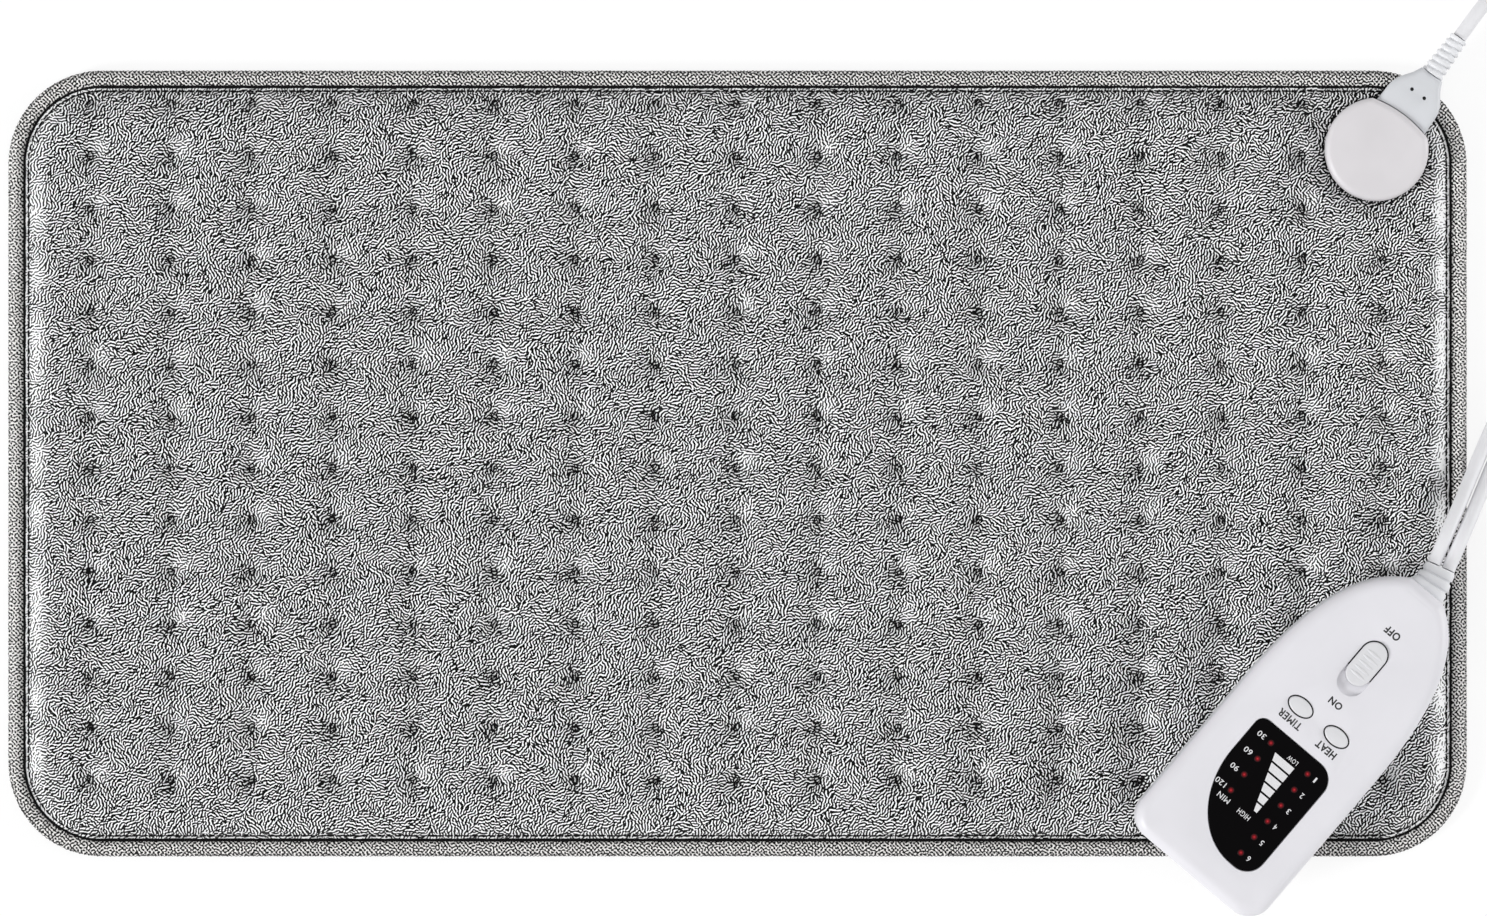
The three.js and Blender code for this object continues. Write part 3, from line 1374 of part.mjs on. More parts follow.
place(heatingPad, "pad_lead", padLead(), whiteCord);
place(heatingPad, "mains_run", mainsRun(), whiteCord);
place(heatingPad, "mains_coil", mainsCoil(turns), whiteCord);
place(heatingPad, "mains_tail", mainsTail(), whiteCord);
place(heatingPad, "coil_tie", coilTie(), blackPlastic);

// Mains plug, in its own frame: the cord comes in at the origin and the blades point along +Y

function mainsPlugBody() {
  const ahead = at(0, 1, 0);
  const rings = [];
  const section = (y, half, rise, power) =>
    rings.push(ring(at(0, y, 0), ahead, half, rise, roundSides, power));
  const boot = (y, depth) => {
    const radius = lerp(bootRadiusStart, bootRadiusEnd, y / bootLength) - depth;
    section(y, radius, radius, 2);
  };
  const pitch = bootLength / (bootRibs + 1);
  boot(0, 0);
  for (let rib = 1; rib <= bootRibs; rib += 1) {
    const end = rib * pitch;
    const start = end - bootGrooveWidth;
    boot(start, 0);
    boot(start, bootGroove);
    boot(end, bootGroove);
    boot(end, 0);
  }
  boot(bootLength, 0);
  for (const [along, wide, tall, power] of bodyShape) {
    section(bootLength + along * bodyLength, wide * bodyHalfWidth, tall * plugAxis, power);
  }
  const front = bootLength + bodyLength;
  const slots = bothSides.map((side) => {
    const x = (side * bladeSpacing) / 2;
    const [halfX, halfZ] = [bladeThickness / 2 + fit, bladeWidth / 2 + fit];
    return block(x - halfX, x + halfX, front - bladeRoot - fit, front + past, -halfZ, halfZ);
  });
  return cut(loft(rings), ...slots);
}

function blade(side) {
  const x = (side * bladeSpacing) / 2;
  const front = bootLength + bodyLength;
  const [halfX, halfZ] = [bladeThickness / 2, bladeWidth / 2];
  return block(x - halfX, x + halfX, front - bladeRoot, front + bladeLength, -halfZ, halfZ);
}

place(mainsPlug, "mains_plug_body", mainsPlugBody(), whiteRubber);
place(mainsPlug, "line_blade", blade(-1), brass);
place(mainsPlug, "neutral_blade", blade(1), brass);

export default heatingPad;
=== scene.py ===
import json
import math

import bmesh
import bpy
import numpy as np
from mathutils import Matrix, Vector

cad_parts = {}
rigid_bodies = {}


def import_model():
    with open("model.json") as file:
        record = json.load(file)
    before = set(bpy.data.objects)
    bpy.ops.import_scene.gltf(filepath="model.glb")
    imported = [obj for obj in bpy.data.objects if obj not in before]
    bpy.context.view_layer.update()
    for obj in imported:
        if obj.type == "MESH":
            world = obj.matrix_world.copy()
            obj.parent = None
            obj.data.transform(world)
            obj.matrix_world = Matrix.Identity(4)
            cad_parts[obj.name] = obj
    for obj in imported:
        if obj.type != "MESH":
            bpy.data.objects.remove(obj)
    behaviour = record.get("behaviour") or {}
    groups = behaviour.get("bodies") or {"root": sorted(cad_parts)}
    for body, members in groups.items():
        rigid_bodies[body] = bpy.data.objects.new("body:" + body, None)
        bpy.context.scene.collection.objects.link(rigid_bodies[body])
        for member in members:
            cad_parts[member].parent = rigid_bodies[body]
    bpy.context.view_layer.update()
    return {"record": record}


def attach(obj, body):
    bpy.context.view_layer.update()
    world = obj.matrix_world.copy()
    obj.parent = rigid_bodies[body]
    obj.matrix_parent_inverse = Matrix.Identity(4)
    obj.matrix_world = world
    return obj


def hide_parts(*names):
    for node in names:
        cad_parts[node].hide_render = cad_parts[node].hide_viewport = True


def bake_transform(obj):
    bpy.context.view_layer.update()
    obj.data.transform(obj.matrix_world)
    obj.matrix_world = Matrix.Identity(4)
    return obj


mm = 0.001
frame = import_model()
scene = bpy.context.scene
scene.view_settings.view_transform = "Standard"
root = "pad_and_controller"

# Where each group of pieces stands: x, y and z in millimetres, and its turn in degrees
places = {
    "pad": (0, 0, 0, 0),
    "connector": (255.6, 125.6, 0, 53.5 - 90),
    "controller": (224.3, -110.3, 14.3, 49.7 - 90),
    "mainsPlug": (400.65, -94.2, 8, 180),
}


def standAt(x, y, z, degrees):  # from local millimetres to the shared frame
    turn = Matrix.Rotation(math.radians(degrees), 4, "Z")
    return Matrix.Translation((x * mm, y * mm, z * mm)) @ turn @ Matrix.Scale(mm, 4)


stands = {group: standAt(*place) for group, place in places.items()}

# Camera: straight down, 0.4 mm for each pixel of the photograph
viewing = {"lens": 300, "sensor": 36, "pixels": 1487, "mmPerPixel": 0.4, "aim": (2.4, 2.2, 12), "far": 100}


def makeCamera():
    data = bpy.data.cameras.new("photoCamera")
    data.lens = viewing["lens"]
    data.sensor_width = viewing["sensor"]
    data.sensor_fit = "HORIZONTAL"
    data.clip_end = viewing["far"]
    camera = bpy.data.objects.new("photoCamera", data)
    x, y, z = viewing["aim"]
    away = viewing["mmPerPixel"] * viewing["pixels"] * viewing["lens"] / viewing["sensor"]
    camera.location = (x * mm, y * mm, (z + away) * mm)
    scene.collection.objects.link(camera)
    scene.camera = camera


makeCamera()


# Node helpers: an input is a plain value or another node's socket
def addNode(tree, kind, inputs={}, **settings):
    node = tree.nodes.new(kind)
    for key, value in settings.items():
        setattr(node, key, value)
    for key, value in inputs.items():
        if isinstance(value, bpy.types.NodeSocket):
            tree.links.new(value, node.inputs[key])
        else:
            node.inputs[key].default_value = value
    return node


def result(tree, kind, inputs={}, output=0, **settings):  # one output of a new node
    return addNode(tree, kind, inputs, **settings).outputs[output]


def tone(red, green, blue):  # a colour as it is seen on screen, 0 to 255
    linear = [c / 255 for c in (red, green, blue)]
    linear = [c / 12.92 if c <= 0.04045 else ((c + 0.055) / 1.055) ** 2.4 for c in linear]
    return (*linear, 1.0)


white = (1, 1, 1, 1)


def shaded(colour, share):
    return (*[min(c * share, 1) for c in colour[:3]], 1)


def ramp(tree, factor, stops):
    node = addNode(tree, "ShaderNodeValToRGB", {"Fac": factor})
    while len(node.color_ramp.elements) < len(stops):
        node.color_ramp.elements.new(1.0)
    for element, (place, colour) in zip(node.color_ramp.elements, stops):
        element.position = place
        element.color = colour
    return node.outputs["Color"]


def multiply(tree, first, second):
    inputs = {0: 1.0, 6: first, 7: second}
    return result(tree, "ShaderNodeMix", inputs, 2, data_type="RGBA", blend_type="MULTIPLY")


def blendColour(tree, share, first, second):
    return result(tree, "ShaderNodeMix", {0: share, 6: first, 7: second}, 2, data_type="RGBA")


def maths(tree, operation, first, second=0.0, **settings):
    return result(tree, "ShaderNodeMath", {0: first, 1: second}, operation=operation, **settings)


def spread(tree, factor, low, high):  # 0 to 1 becomes low to high
    return result(tree, "ShaderNodeMapRange", {"Value": factor, "To Min": low, "To Max": high})


def rising(tree, value, low, high, top=1.0):  # 0 up to low, top from high on
    inputs = {"Value": value, "From Min": low, "From Max": high, "To Max": top}
    return result(tree, "ShaderNodeMapRange", inputs)


def noise(tree, where, scale, detail=2.0):
    return result(tree, "ShaderNodeTexNoise", {"Vector": where, "Scale": scale, "Detail": detail}, "Fac")


def waves(tree, inputs):  # the same bands along x and along y
    return [result(tree, "ShaderNodeTexWave", inputs, "Fac", bands_direction=way) for way in "XY"]


def attribute(tree, name):
    return result(tree, "ShaderNodeAttribute", {}, "Fac", attribute_name=name)


def bump(tree, height, distance, strength=1.0):
    inputs = {"Height": height, "Distance": distance, "Strength": strength}
    return result(tree, "ShaderNodeBump", inputs, "Normal")


def newMaterial(name, roughness=0.5, **sockets):
    material = bpy.data.materials.new(name)
    material.use_nodes = True
    tree = material.node_tree
    shader = tree.nodes["Principled BSDF"]
    shader.inputs["Roughness"].default_value = roughness
    for key, value in sockets.items():
        shader.inputs[key.replace("_", " ")].default_value = value
    where = result(tree, "ShaderNodeTexCoord", {}, "Object")
    return material, tree, shader, where


def paint(tree, shader, **patterns):  # links patterns to the shader's sockets
    for key, pattern in patterns.items():
        tree.links.new(pattern, shader.inputs[key.replace("_", " ")])


# Moulded plastic and rubber: faint clouding, a fine grain and uneven gloss
moulding = {"clouds": 45, "glossPatches": 120, "glossSpread": 0.05}


def mouldedFinish(name, colour, roughness, grain=0.00001, scale=1600, clouding=0.035, **sockets):
    m = moulding
    material, tree, shader, where = newMaterial(name, roughness, **sockets)
    stops = [(0.3, shaded(colour, 1 - clouding)), (0.7, shaded(colour, 1 + clouding))]
    cloud = ramp(tree, noise(tree, where, m["clouds"], 3), stops)
    patches = noise(tree, where, m["glossPatches"])
    gloss = spread(tree, patches, roughness - m["glossSpread"], roughness + m["glossSpread"])
    relief = bump(tree, noise(tree, where, scale), grain)
    paint(tree, shader, Base_Color=cloud, Roughness=gloss, Normal=relief)
    return material


# Metal: fine drawn lines
brushing = {"lines": (900, 60, 900), "dark": 0.82, "gloss": (-0.08, 0.1), "depth": 0.00001}


def metalFinish(name, colour, roughness):
    material, tree, shader, where = newMaterial(name, roughness, Metallic=1.0)
    stretched = result(tree, "ShaderNodeMapping", {"Vector": where, "Scale": brushing["lines"]})
    lines = noise(tree, stretched, 1.0, 3)
    shade = ramp(tree, lines, [(0.3, shaded(colour, brushing["dark"])), (0.7, colour)])
    gloss = spread(tree, lines, *[roughness + change for change in brushing["gloss"]])
    paint(tree, shader, Base_Color=shade, Roughness=gloss, Normal=bump(tree, lines, brushing["depth"]))
    return material


# Short plush: a swirled nap, darker in its furrows, with painted shade at the tufts, along the seam and round
# the connector, and painted light in pale bands and patches
plush = {
    "furrow": tone(5, 5, 5),
    "tip": tone(254, 254, 255),
    # the tone of the painted highlight
    "paintedHighlight": tone(226, 226, 227),
    # the darkest tone of the painted shade
    "dark": tone(180, 180, 180),
    "period": 1.22,
    "order": 0.54,  # how straight the strands run
    "lay": -0.8,  # their main direction, and how far they turn from it
    "turn": 3.7,
    "swirl": 100,
    "edges": (0.528, 0.546),  # where a furrow ends and where a tip starts
    "closing": 0.2,  # furrows close where light is painted
    "opening": 0.12,  # and spread where shade is painted
    "patches": 210,  # patches of painted highlight, their edges and their strength
    "patchEdges": (0.3, 0.65),
    "patchShare": 0.3,
    "depth": 0.2,
    "relief": 0.8,
}


def napPattern(tree, where, period, order, angle):  # short strands, laid by an angle
    inputs = {"Vector": where, "Scale": 1 / (2.0 * period * mm), "Frequency": 2.0, "Anisotropy": order}
    inputs[4] = angle  # the flat pattern's angle, by number as another socket has the same name
    return result(tree, "ShaderNodeTexGabor", inputs, "Value", gabor_type="2D")


def plushFinish():
    p = plush
    sheen = {"Sheen_Weight": 0.12, "Sheen_Roughness": 0.5, "Specular_IOR_Level": 0.1}
    material, tree, shader, where = newMaterial("plushNap", 0.95, **sheen)
    swirl = noise(tree, where, p["swirl"])
    angle = spread(tree, swirl, p["lay"] - p["turn"], p["lay"] + p["turn"])
    fibres = napPattern(tree, where, p["period"], p["order"], angle)
    # painted light and painted shade on the nap, kept on the quilt's mesh
    paintedLight, paintedShade = attribute(tree, "paintedLight"), attribute(tree, "paintedShade")
    closing = maths(tree, "MULTIPLY", paintedLight, p["closing"])
    opening = maths(tree, "MULTIPLY", paintedShade, p["opening"])
    raised = maths(tree, "ADD", fibres, maths(tree, "SUBTRACT", closing, opening))
    colour = ramp(tree, raised, list(zip(p["edges"], (p["furrow"], p["tip"]))))
    patches = rising(tree, noise(tree, where, p["patches"], 3), *p["patchEdges"])
    share = maths(tree, "MULTIPLY", patches, maths(tree, "MULTIPLY", paintedLight, p["patchShare"]))
    # painted highlight: pale patches where light is painted
    colour = blendColour(tree, share, colour, p["paintedHighlight"])
    # painted shade: darker at the tufts, along the crease and round the connector
    colour = multiply(tree, colour, ramp(tree, paintedShade, [(0.0, white), (1.0, p["dark"])]))
    paint(tree, shader, Base_Color=colour, Normal=bump(tree, fibres, p["depth"] * mm, p["relief"]))
    return material


# Ribbed tape: the ribs are in the mesh; the twill, its flecks, the painted shade in the grooves and the
# painted light at both ends of the pad are in the material
tape = {
    # painted shade in the grooves: pale on the ribs' tops, dark between them
    "shades": [(0.0, tone(252, 250, 248)), (0.4, tone(206, 205, 204)), (1.0, tone(24, 24, 24))],
    "innerGroove": 0.3,  # how much of a groove's shade is left next to the plush
    "twill": {"Scale": 314 / 1.28, "Distortion": 4.0, "Detail": 1.0, "Detail Scale": 0.9},
    "slant": math.pi / 4,
    "twillShare": 0.22,
    "grain": (1.18, 0.3, 0.9),  # period, order and angle
    "paintedSideLight": (0.2865, 0.2915, 0.07),  # painted light from the side lights: paler at both ends of the pad
    "flecks": [(0.72, tone(14, 14, 14)), (0.75, white)],
    "fuzz": (1400, 0.00012),  # scale and depth
}


def tapeFinish():
    t = tape
    material, tree, shader, where = newMaterial("ribbedTape", 0.85, Sheen_Weight=0.1, Specular_IOR_Level=0.2)
    rib, outer = attribute(tree, "rib"), attribute(tree, "outer")
    # painted shade: the grooves between the ribs are darkened, less so next to the plush
    depth = spread(tree, outer, t["innerGroove"], 1.0)
    groove = maths(tree, "MULTIPLY", maths(tree, "SUBTRACT", 1.0, rib), depth)
    colour = ramp(tree, groove, t["shades"])
    slanted = result(tree, "ShaderNodeMapping", {"Vector": where, "Rotation": (0, 0, t["slant"])})
    rows = maths(tree, "ADD", *waves(tree, {"Vector": slanted, **t["twill"]}))
    twill = maths(tree, "MULTIPLY", rows, t["twillShare"])
    twill = maths(tree, "ADD", twill, napPattern(tree, where, *t["grain"]))
    across = maths(tree, "ABSOLUTE", result(tree, "ShaderNodeSeparateXYZ", {0: where}))
    # painted light: the tape turns paler towards both ends of the pad
    twill = maths(tree, "ADD", twill, rising(tree, across, *t["paintedSideLight"]))
    colour = multiply(tree, colour, ramp(tree, twill, t["flecks"]))
    scale, height = t["fuzz"]
    paint(tree, shader, Base_Color=colour, Normal=bump(tree, noise(tree, where, scale), height))
    return material


# Plain woven or felted cloth
def clothFinish(name, colour, threads=900, felt=False):
    material, tree, shader, where = newMaterial(name, 0.9, Sheen_Weight=0.1, Specular_IOR_Level=0.15)
    if felt:
        weave = noise(tree, where, threads, 4)
    else:
        weave = maths(tree, "MAXIMUM", *waves(tree, {"Vector": where, "Scale": threads / 6.3}))
    shade = ramp(tree, weave, [(0.2, shaded(colour, 0.6)), (0.8, colour)])
    paint(tree, shader, Base_Color=shade, Normal=bump(tree, weave, 0.0002))
    return material


# Lamps behind the window: bright in the middle, fading out
lampShades = [(0.0, tone(9, 8, 9)), (0.4, tone(66, 8, 13))]
lampShades += [(0.8, tone(138, 18, 28)), (1.0, tone(196, 58, 62))]


def lampFinish():
    sockets = {"Specular_IOR_Level": 0.1, "Emission_Strength": 0.12}
    material, tree, shader, _ = newMaterial("lampGlow", 0.5, **sockets)
    colour = ramp(tree, attribute(tree, "glow"), lampShades)
    paint(tree, shader, Base_Color=colour, Emission_Color=colour)
    return material


# Flat print: ink of a slightly uneven tone
def inkFinish(name, colour):
    material, tree, shader, where = newMaterial(name, 0.5)
    shade = ramp(tree, noise(tree, where, 3000), [(0.3, shaded(colour, 0.85)), (0.6, colour)])
    paint(tree, shader, Base_Color=shade)
    return material


dimGlass = {"grain": 0.000002, "scale": 200, "clouding": 0.1, "Specular_IOR_Level": 0.02}
finishes = {
    "plush": plushFinish(),
    "binding_tape": tapeFinish(),
    "back_cloth": clothFinish("backWeave", tone(186, 186, 188), 1100),
    "fleece": clothFinish("fleeceWadding", tone(232, 230, 224), 500, felt=True),
    "carrier_cloth": clothFinish("carrierFelt", tone(222, 219, 210), 900, felt=True),
    "wire_sheath": mouldedFinish("heaterSheath", tone(216, 201, 176), 0.55),
    "socket_plastic": mouldedFinish("capPlastic", tone(215, 212, 215), 0.42),
    "shell_plastic": mouldedFinish("shellPlastic", tone(224, 223, 228), 0.4, clouding=0.02),
    "button_plastic": mouldedFinish("keyPlastic", tone(217, 217, 220), 0.38, clouding=0.015),
    "white_rubber": mouldedFinish("sleeveRubber", tone(231, 232, 235), 0.55, 0.00002),
    "cord_sheath": mouldedFinish("cordSheath", tone(230, 230, 233), 0.5, 0.00002, 900),
    "window_acrylic": mouldedFinish("windowBlack", tone(7, 6, 7), 0.14, **dimGlass),
    "black_plastic": mouldedFinish("blackPlastic", tone(27, 27, 29), 0.5),
    "board_laminate": mouldedFinish("boardGreen", tone(31, 90, 54), 0.45),
    "lamp_red": mouldedFinish("lampResin", tone(142, 26, 28), 0.25),
    "capacitor_yellow": mouldedFinish("filmYellow", tone(217, 165, 33), 0.4),
    "steel": metalFinish("screwSteel", tone(188, 190, 193), 0.35),
    "contact_brass": metalFinish("contactBrass", tone(206, 172, 98), 0.3),
}
glow = lampFinish()
whiteInk = inkFinish("windowPrint", tone(226, 226, 228))
greyInk = inkFinish("shellPrint", tone(14, 14, 16))
plugShade = mouldedFinish("plugPlastic", tone(208, 210, 214), 0.42)
thread = mouldedFinish("seamThread", tone(12, 12, 13), 0.9, 0.00004, 2500, 0.2, Specular_IOR_Level=0.1)
pitBlack = mouldedFinish("pitShade", tone(14, 14, 15), 0.8)

for part in frame["record"]["subparts"]:
    node = bpy.data.objects[part["node"]]
    node.data.materials.clear()
    node.data.materials.append(finishes[part["material_slot"]])
print("materials made")


# Meshes and pieces, in local millimetres until they are placed
def newMesh(points, faces):
    mesh = bpy.data.meshes.new("made")
    mesh.from_pydata([tuple(p) for p in points], [], faces)
    mesh.update()
    return mesh


def newObject(name, data):
    made = bpy.data.objects.new(name, data)
    scene.collection.objects.link(made)
    return made


def evaluated(made, *helpers):  # the finished mesh, once the modifiers and objects that made it are gone
    depsgraph = bpy.context.evaluated_depsgraph_get()
    shown = made.evaluated_get(depsgraph)
    mesh = bpy.data.meshes.new_from_object(shown, preserve_all_data_layers=True, depsgraph=depsgraph)
    made.modifiers.clear()
    for used in (made, *helpers):
        bpy.data.objects.remove(used)
    return mesh


def coordinates(mesh):
    flat = np.empty(len(mesh.vertices) * 3)
    mesh.vertices.foreach_get("co", flat)
    return flat.reshape(-1, 3)


def addAttribute(mesh, name, values):
    mesh.attributes.new(name, "FLOAT", "POINT").data.foreach_set("value", values)


def outward(mesh, merge=0.0, hem=None):  # faces turned outwards; a hem closes a sheet at that height
    shaped = bmesh.new()
    shaped.from_mesh(mesh)
    if merge:
        bmesh.ops.remove_doubles(shaped, verts=shaped.verts, dist=merge)
    if hem is not None:
        rim = [e for e in shaped.edges if e.is_boundary]
        for corner in bmesh.ops.extrude_edge_only(shaped, edges=rim)["geom"]:
            if isinstance(corner, bmesh.types.BMVert):
                corner.co.z = hem
        bmesh.ops.holes_fill(shaped, edges=[e for e in shaped.edges if e.is_boundary])
    bmesh.ops.recalc_face_normals(shaped, faces=shaped.faces)
    shaped.to_mesh(mesh)
    shaped.free()
    return mesh


def placed(name, mesh, group):
    mesh.transform(stands[group])
    return newObject(name, mesh)


def dress(piece, body, slot, replaced=(), material=None, sharp=35):
    data = piece.data
    data.materials.clear()
    data.materials.append(material or finishes[slot])
    if sharp:
        data.shade_smooth()
        data.set_sharp_from_angle(angle=math.radians(sharp))
    if body:
        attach(piece, body)
    if replaced:
        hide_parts(*replaced)
    return piece


def loopsMesh(loops, capped=True):  # rings of equally many points, joined and closed
    count = len(loops[0])
    points = [p for loop in loops for p in loop]
    faces = []
    for i in range(len(loops) - 1):
        low, high = i * count, (i + 1) * count
        for j in range(count):
            k = (j + 1) % count
            faces.append((low + j, low + k, high + k, high + j))
    if capped:
        faces.append(tuple(range(count - 1, -1, -1)))
        faces.append(tuple(range(len(points) - count, len(points))))
    return newMesh(points, faces)


def ringAngles(sides):
    return [2 * math.pi * j / sides for j in range(sides)]


def inset(outline, distance):  # an outline that turns left, moved inwards
    points = np.array(outline, float)
    before = points - np.roll(points, 1, axis=0)
    after = np.roll(points, -1, axis=0) - points
    before /= np.linalg.norm(before, axis=1, keepdims=True)
    after /= np.linalg.norm(after, axis=1, keepdims=True)
    normal = np.stack([-(before + after)[:, 1], (before + after)[:, 0]], axis=1)
    normal /= np.linalg.norm(normal, axis=1, keepdims=True)
    lean = np.maximum((normal * np.stack([-before[:, 1], before[:, 0]], axis=1)).sum(axis=1), 0.5)
    return points + normal * (distance / lean)[:, None]


def slab(outline, low, high, topRound=0.0, bottomRound=0.0, steps=7, crown=0.0):
    flat = np.array(outline, float)
    strip = 0.3  # a narrow flat strip inside each rounding
    quarter = [math.pi / 2 * i / steps for i in range(steps + 1)]
    loops = [(inset(flat, bottomRound + strip) if bottomRound else flat, low)]
    if bottomRound:
        for a in quarter:
            drawnIn, up = bottomRound * (1 - math.sin(a)), bottomRound * (1 - math.cos(a))
            loops.append((inset(flat, drawnIn), low + up))
    if topRound:
        for a in quarter:
            drawnIn, down = topRound * (1 - math.cos(a)), topRound * (1 - math.sin(a))
            loops.append((inset(flat, drawnIn), high - down))
    loops.append((inset(flat, topRound + strip) if topRound else flat, high))
    if crown:  # a shallow dome over the top
        rim = loops[-1][0]
        middle = rim.mean(axis=0)
        for i in range(1, steps):
            share = 1 - i / steps
            loops.append((middle + (rim - middle) * share, high + crown * (1 - share**2)))
    return loopsMesh([[(x, y, z) for x, y in loop] for loop, z in loops])


def arc(x, y, radiusX, radiusY, start, end, steps):
    angles = [math.radians(start + (end - start) * i / steps) for i in range(steps + 1)]
    return [(x + radiusX * math.cos(a), y + radiusY * math.sin(a)) for a in angles]


def oval(x, y, halfX, halfY, steps=48):
    return arc(x, y, halfX, halfY, 0, 360, steps)[:-1]


def clean(points):  # drops a point that repeats the one before it
    return [p for p, q in zip(points, points[-1:] + points[:-1]) if math.dist(p, q) > 1e-4]


def roundedBox(left, right, bottom, top, radius, steps=8):
    points = []
    centres = [(right - radius, top - radius), (left + radius, top - radius)]
    centres += [(left + radius, bottom + radius), (right - radius, bottom + radius)]
    for quarter, (x, y) in enumerate(centres):
        points += arc(x, y, radius, radius, 90 * quarter, 90 * quarter + 90, steps)
    return clean(points)


def bezier(a, b, c, d, steps):
    shares = [i / steps for i in range(steps + 1)]
    weights = [((1 - t) ** 3, 3 * t * (1 - t) ** 2, 3 * t * t * (1 - t), t**3) for t in shares]
    return [tuple(sum(w * p[k] for w, p in zip(row, (a, b, c, d))) for k in (0, 1)) for row in weights]


def boxy(angle, half, rise, power):  # a point on an oval that is squarer with a higher power
    c, s = math.cos(angle), math.sin(angle)
    x = half * math.copysign(abs(c) ** (2 / power), c)
    return x, rise * math.copysign(abs(s) ** (2 / power), s)


def boxyLoop(y, half, rise, power, sides):
    return [(x, y, z) for x, z in (boxy(a, half, rise, power) for a in ringAngles(sides))]


def box(x0, x1, y0, y1, z0, z1):
    return loopsMesh([[(x0, y0, z), (x1, y0, z), (x1, y1, z), (x0, y1, z)] for z in (z0, z1)])


def rod(x, y, radius, low, high, sides=32):
    return loopsMesh([[(*p, z) for p in oval(x, y, radius, radius, sides)] for z in (low, high)])


def ringAlongY(x, y, z, radius, sides):
    return [(x + radius * math.sin(a), y, z + radius * math.cos(a)) for a in ringAngles(sides)]


def cutAway(mesh, tools, operation="DIFFERENCE"):
    body = newObject("body", mesh)
    cutters = [newObject("cutter", tool) for tool in tools]
    for cutter in cutters:
        modifier = body.modifiers.new("cut", "BOOLEAN")
        modifier.operation = operation
        modifier.solver = "EXACT"
        modifier.object = cutter
    return evaluated(body, *cutters)


def softEdges(mesh, width, angle=40, segments=2):  # a small radius on every sharp edge
    body = newObject("body", mesh)
    modifier = body.modifiers.new("bevel", "BEVEL")
    modifier.width = width
    modifier.segments = segments
    modifier.limit_method = "ANGLE"
    modifier.angle_limit = math.radians(angle)
    modifier.use_clamp_overlap = True
    level = body.modifiers.new("normals", "WEIGHTED_NORMAL")
    level.keep_sharp = True
    return evaluated(body)


def grooves(ends, width, depth, lip, wall, edge=0.2):  # places along a ribbed sleeve, each with its depth
    made = []
    for end in ends:
        start = end - width
        made += [(start - lip, 0), (start, edge), (start + wall, depth)]
        made += [(end - wall, depth), (end, edge), (end + lip, 0)]
    return made


def polyCurve(name, points, closed=False):
    data = bpy.data.curves.new(name, "CURVE")
    data.dimensions = "3D"
    spline = data.splines.new("POLY")
    spline.points.add(len(points) - 1)
    for point, p in zip(spline.points, points):
        point.co = (p[0] * mm, p[1] * mm, p[2] * mm, 1)
    spline.use_cyclic_u = closed
    return newObject(name, data)


# Cords: one smooth curve through the route's points, which are measured from the pad's edge on the floor
cordSize = {"diameter": 5.6, "spacing": 6.2, "floor": 3.0, "gap": 0.3, "sides": 20}
padEdge = 292.2
leadRoute = [(15.8, 194.5, 7.4), (33.8, 208.5, 3.6), (55.8, 215.6), (77.8, 211.5), (94.8, 198), (103.8, 179)]
leadRoute += [(104.3, 157), (98.3, 136), (87.8, 117), (74.3, 99), (59.3, 82.5), (44.3, 66.5), (30.3, 49.5)]
leadRoute += [(18.8, 31.5, 3.4)]
leadExit = {"start": 55.8, "height": 12.0, "ahead": 14, "lower": 11.2}  # where the lead leaves its sleeve
mainsRoute = [(20.8, 20, 3.4), (30.3, 30.5), (42.8, 37.5), (57.8, 39.5), (72.8, 36), (86.8, 27), (98.3, 14)]
mainsRoute += [(105.8, -3)]
coil = {"x": 356, "y": -46, "inner": 22.6, "pitch": 6.3, "loops": 7, "low": 3.7, "layer": 6.2, "steps": 40}
coil |= {"entry": (26, 11.2, 5.9), "tail": 42}  # the straight ways in and out
collarDrop = [(0, 0), (12, 0.044), (26, 0.28), (42, 0.667)]  # way from the collar, and share of the drop
lastDrop = {"lead": (58, 0.93), "mains": (56, 0.903)}
# Collar at the controller's cord end: a grooved oval sleeve that leans with the two cords
collar = {
    "back": 73.4,
    "start": 78.1,
    "curve": 83,
    "end": 88.9,
    "lean": -1.7,
    "parting": 11.5,
    "neck": (5.6, 3.4),  # half width and half height
    "first": (8, 4.6),
    "last": (6.3, 4.1),
    "grooves": (0.39, 0.72),
    "groove": (0.1, 0.8, 0.04, 0.015, 0.25),  # width, depth, lip, wall and edge
    "power": 3,
    "sides": 48,
}


def onTheWay(t, start, end, a, b):
    return (end - t) / (end - start) * a + (t - start) / (end - start) * b


def smoothRoute(points, step=2.5):  # centripetal spline, as the solids' cords follow
    points = [np.array(p, float) for p in points]
    ends = [2 * points[0] - points[1], *points, 2 * points[-1] - points[-2]]
    made = [points[0]]
    for p0, p1, p2, p3 in zip(ends, ends[1:], ends[2:], ends[3:]):
        knots = [0.0]
        for a, b in ((p0, p1), (p1, p2), (p2, p3)):
            knots.append(knots[-1] + max(np.linalg.norm(b - a), 1e-9) ** 0.5)
        t0, t1, t2, t3 = knots
        count = max(2, round(np.linalg.norm(p2 - p1) / step))
        for i in range(1, count + 1):
            t = t1 + (t2 - t1) * i / count
            a1 = onTheWay(t, t0, t1, p0, p1)
            a2 = onTheWay(t, t1, t2, p1, p2)
            a3 = onTheWay(t, t2, t3, p2, p3)
            b1 = onTheWay(t, t0, t2, a1, a2)
            b2 = onTheWay(t, t1, t3, a2, a3)
            made.append(onTheWay(t, t1, t2, b1, b2))
    return made


def routeLength(points):
    return sum(math.dist(a, b) for a, b in zip(points, points[1:]))


def onStand(group, x, y, z):
    return np.array(stands[group] @ Vector((x, y, z))) / mm


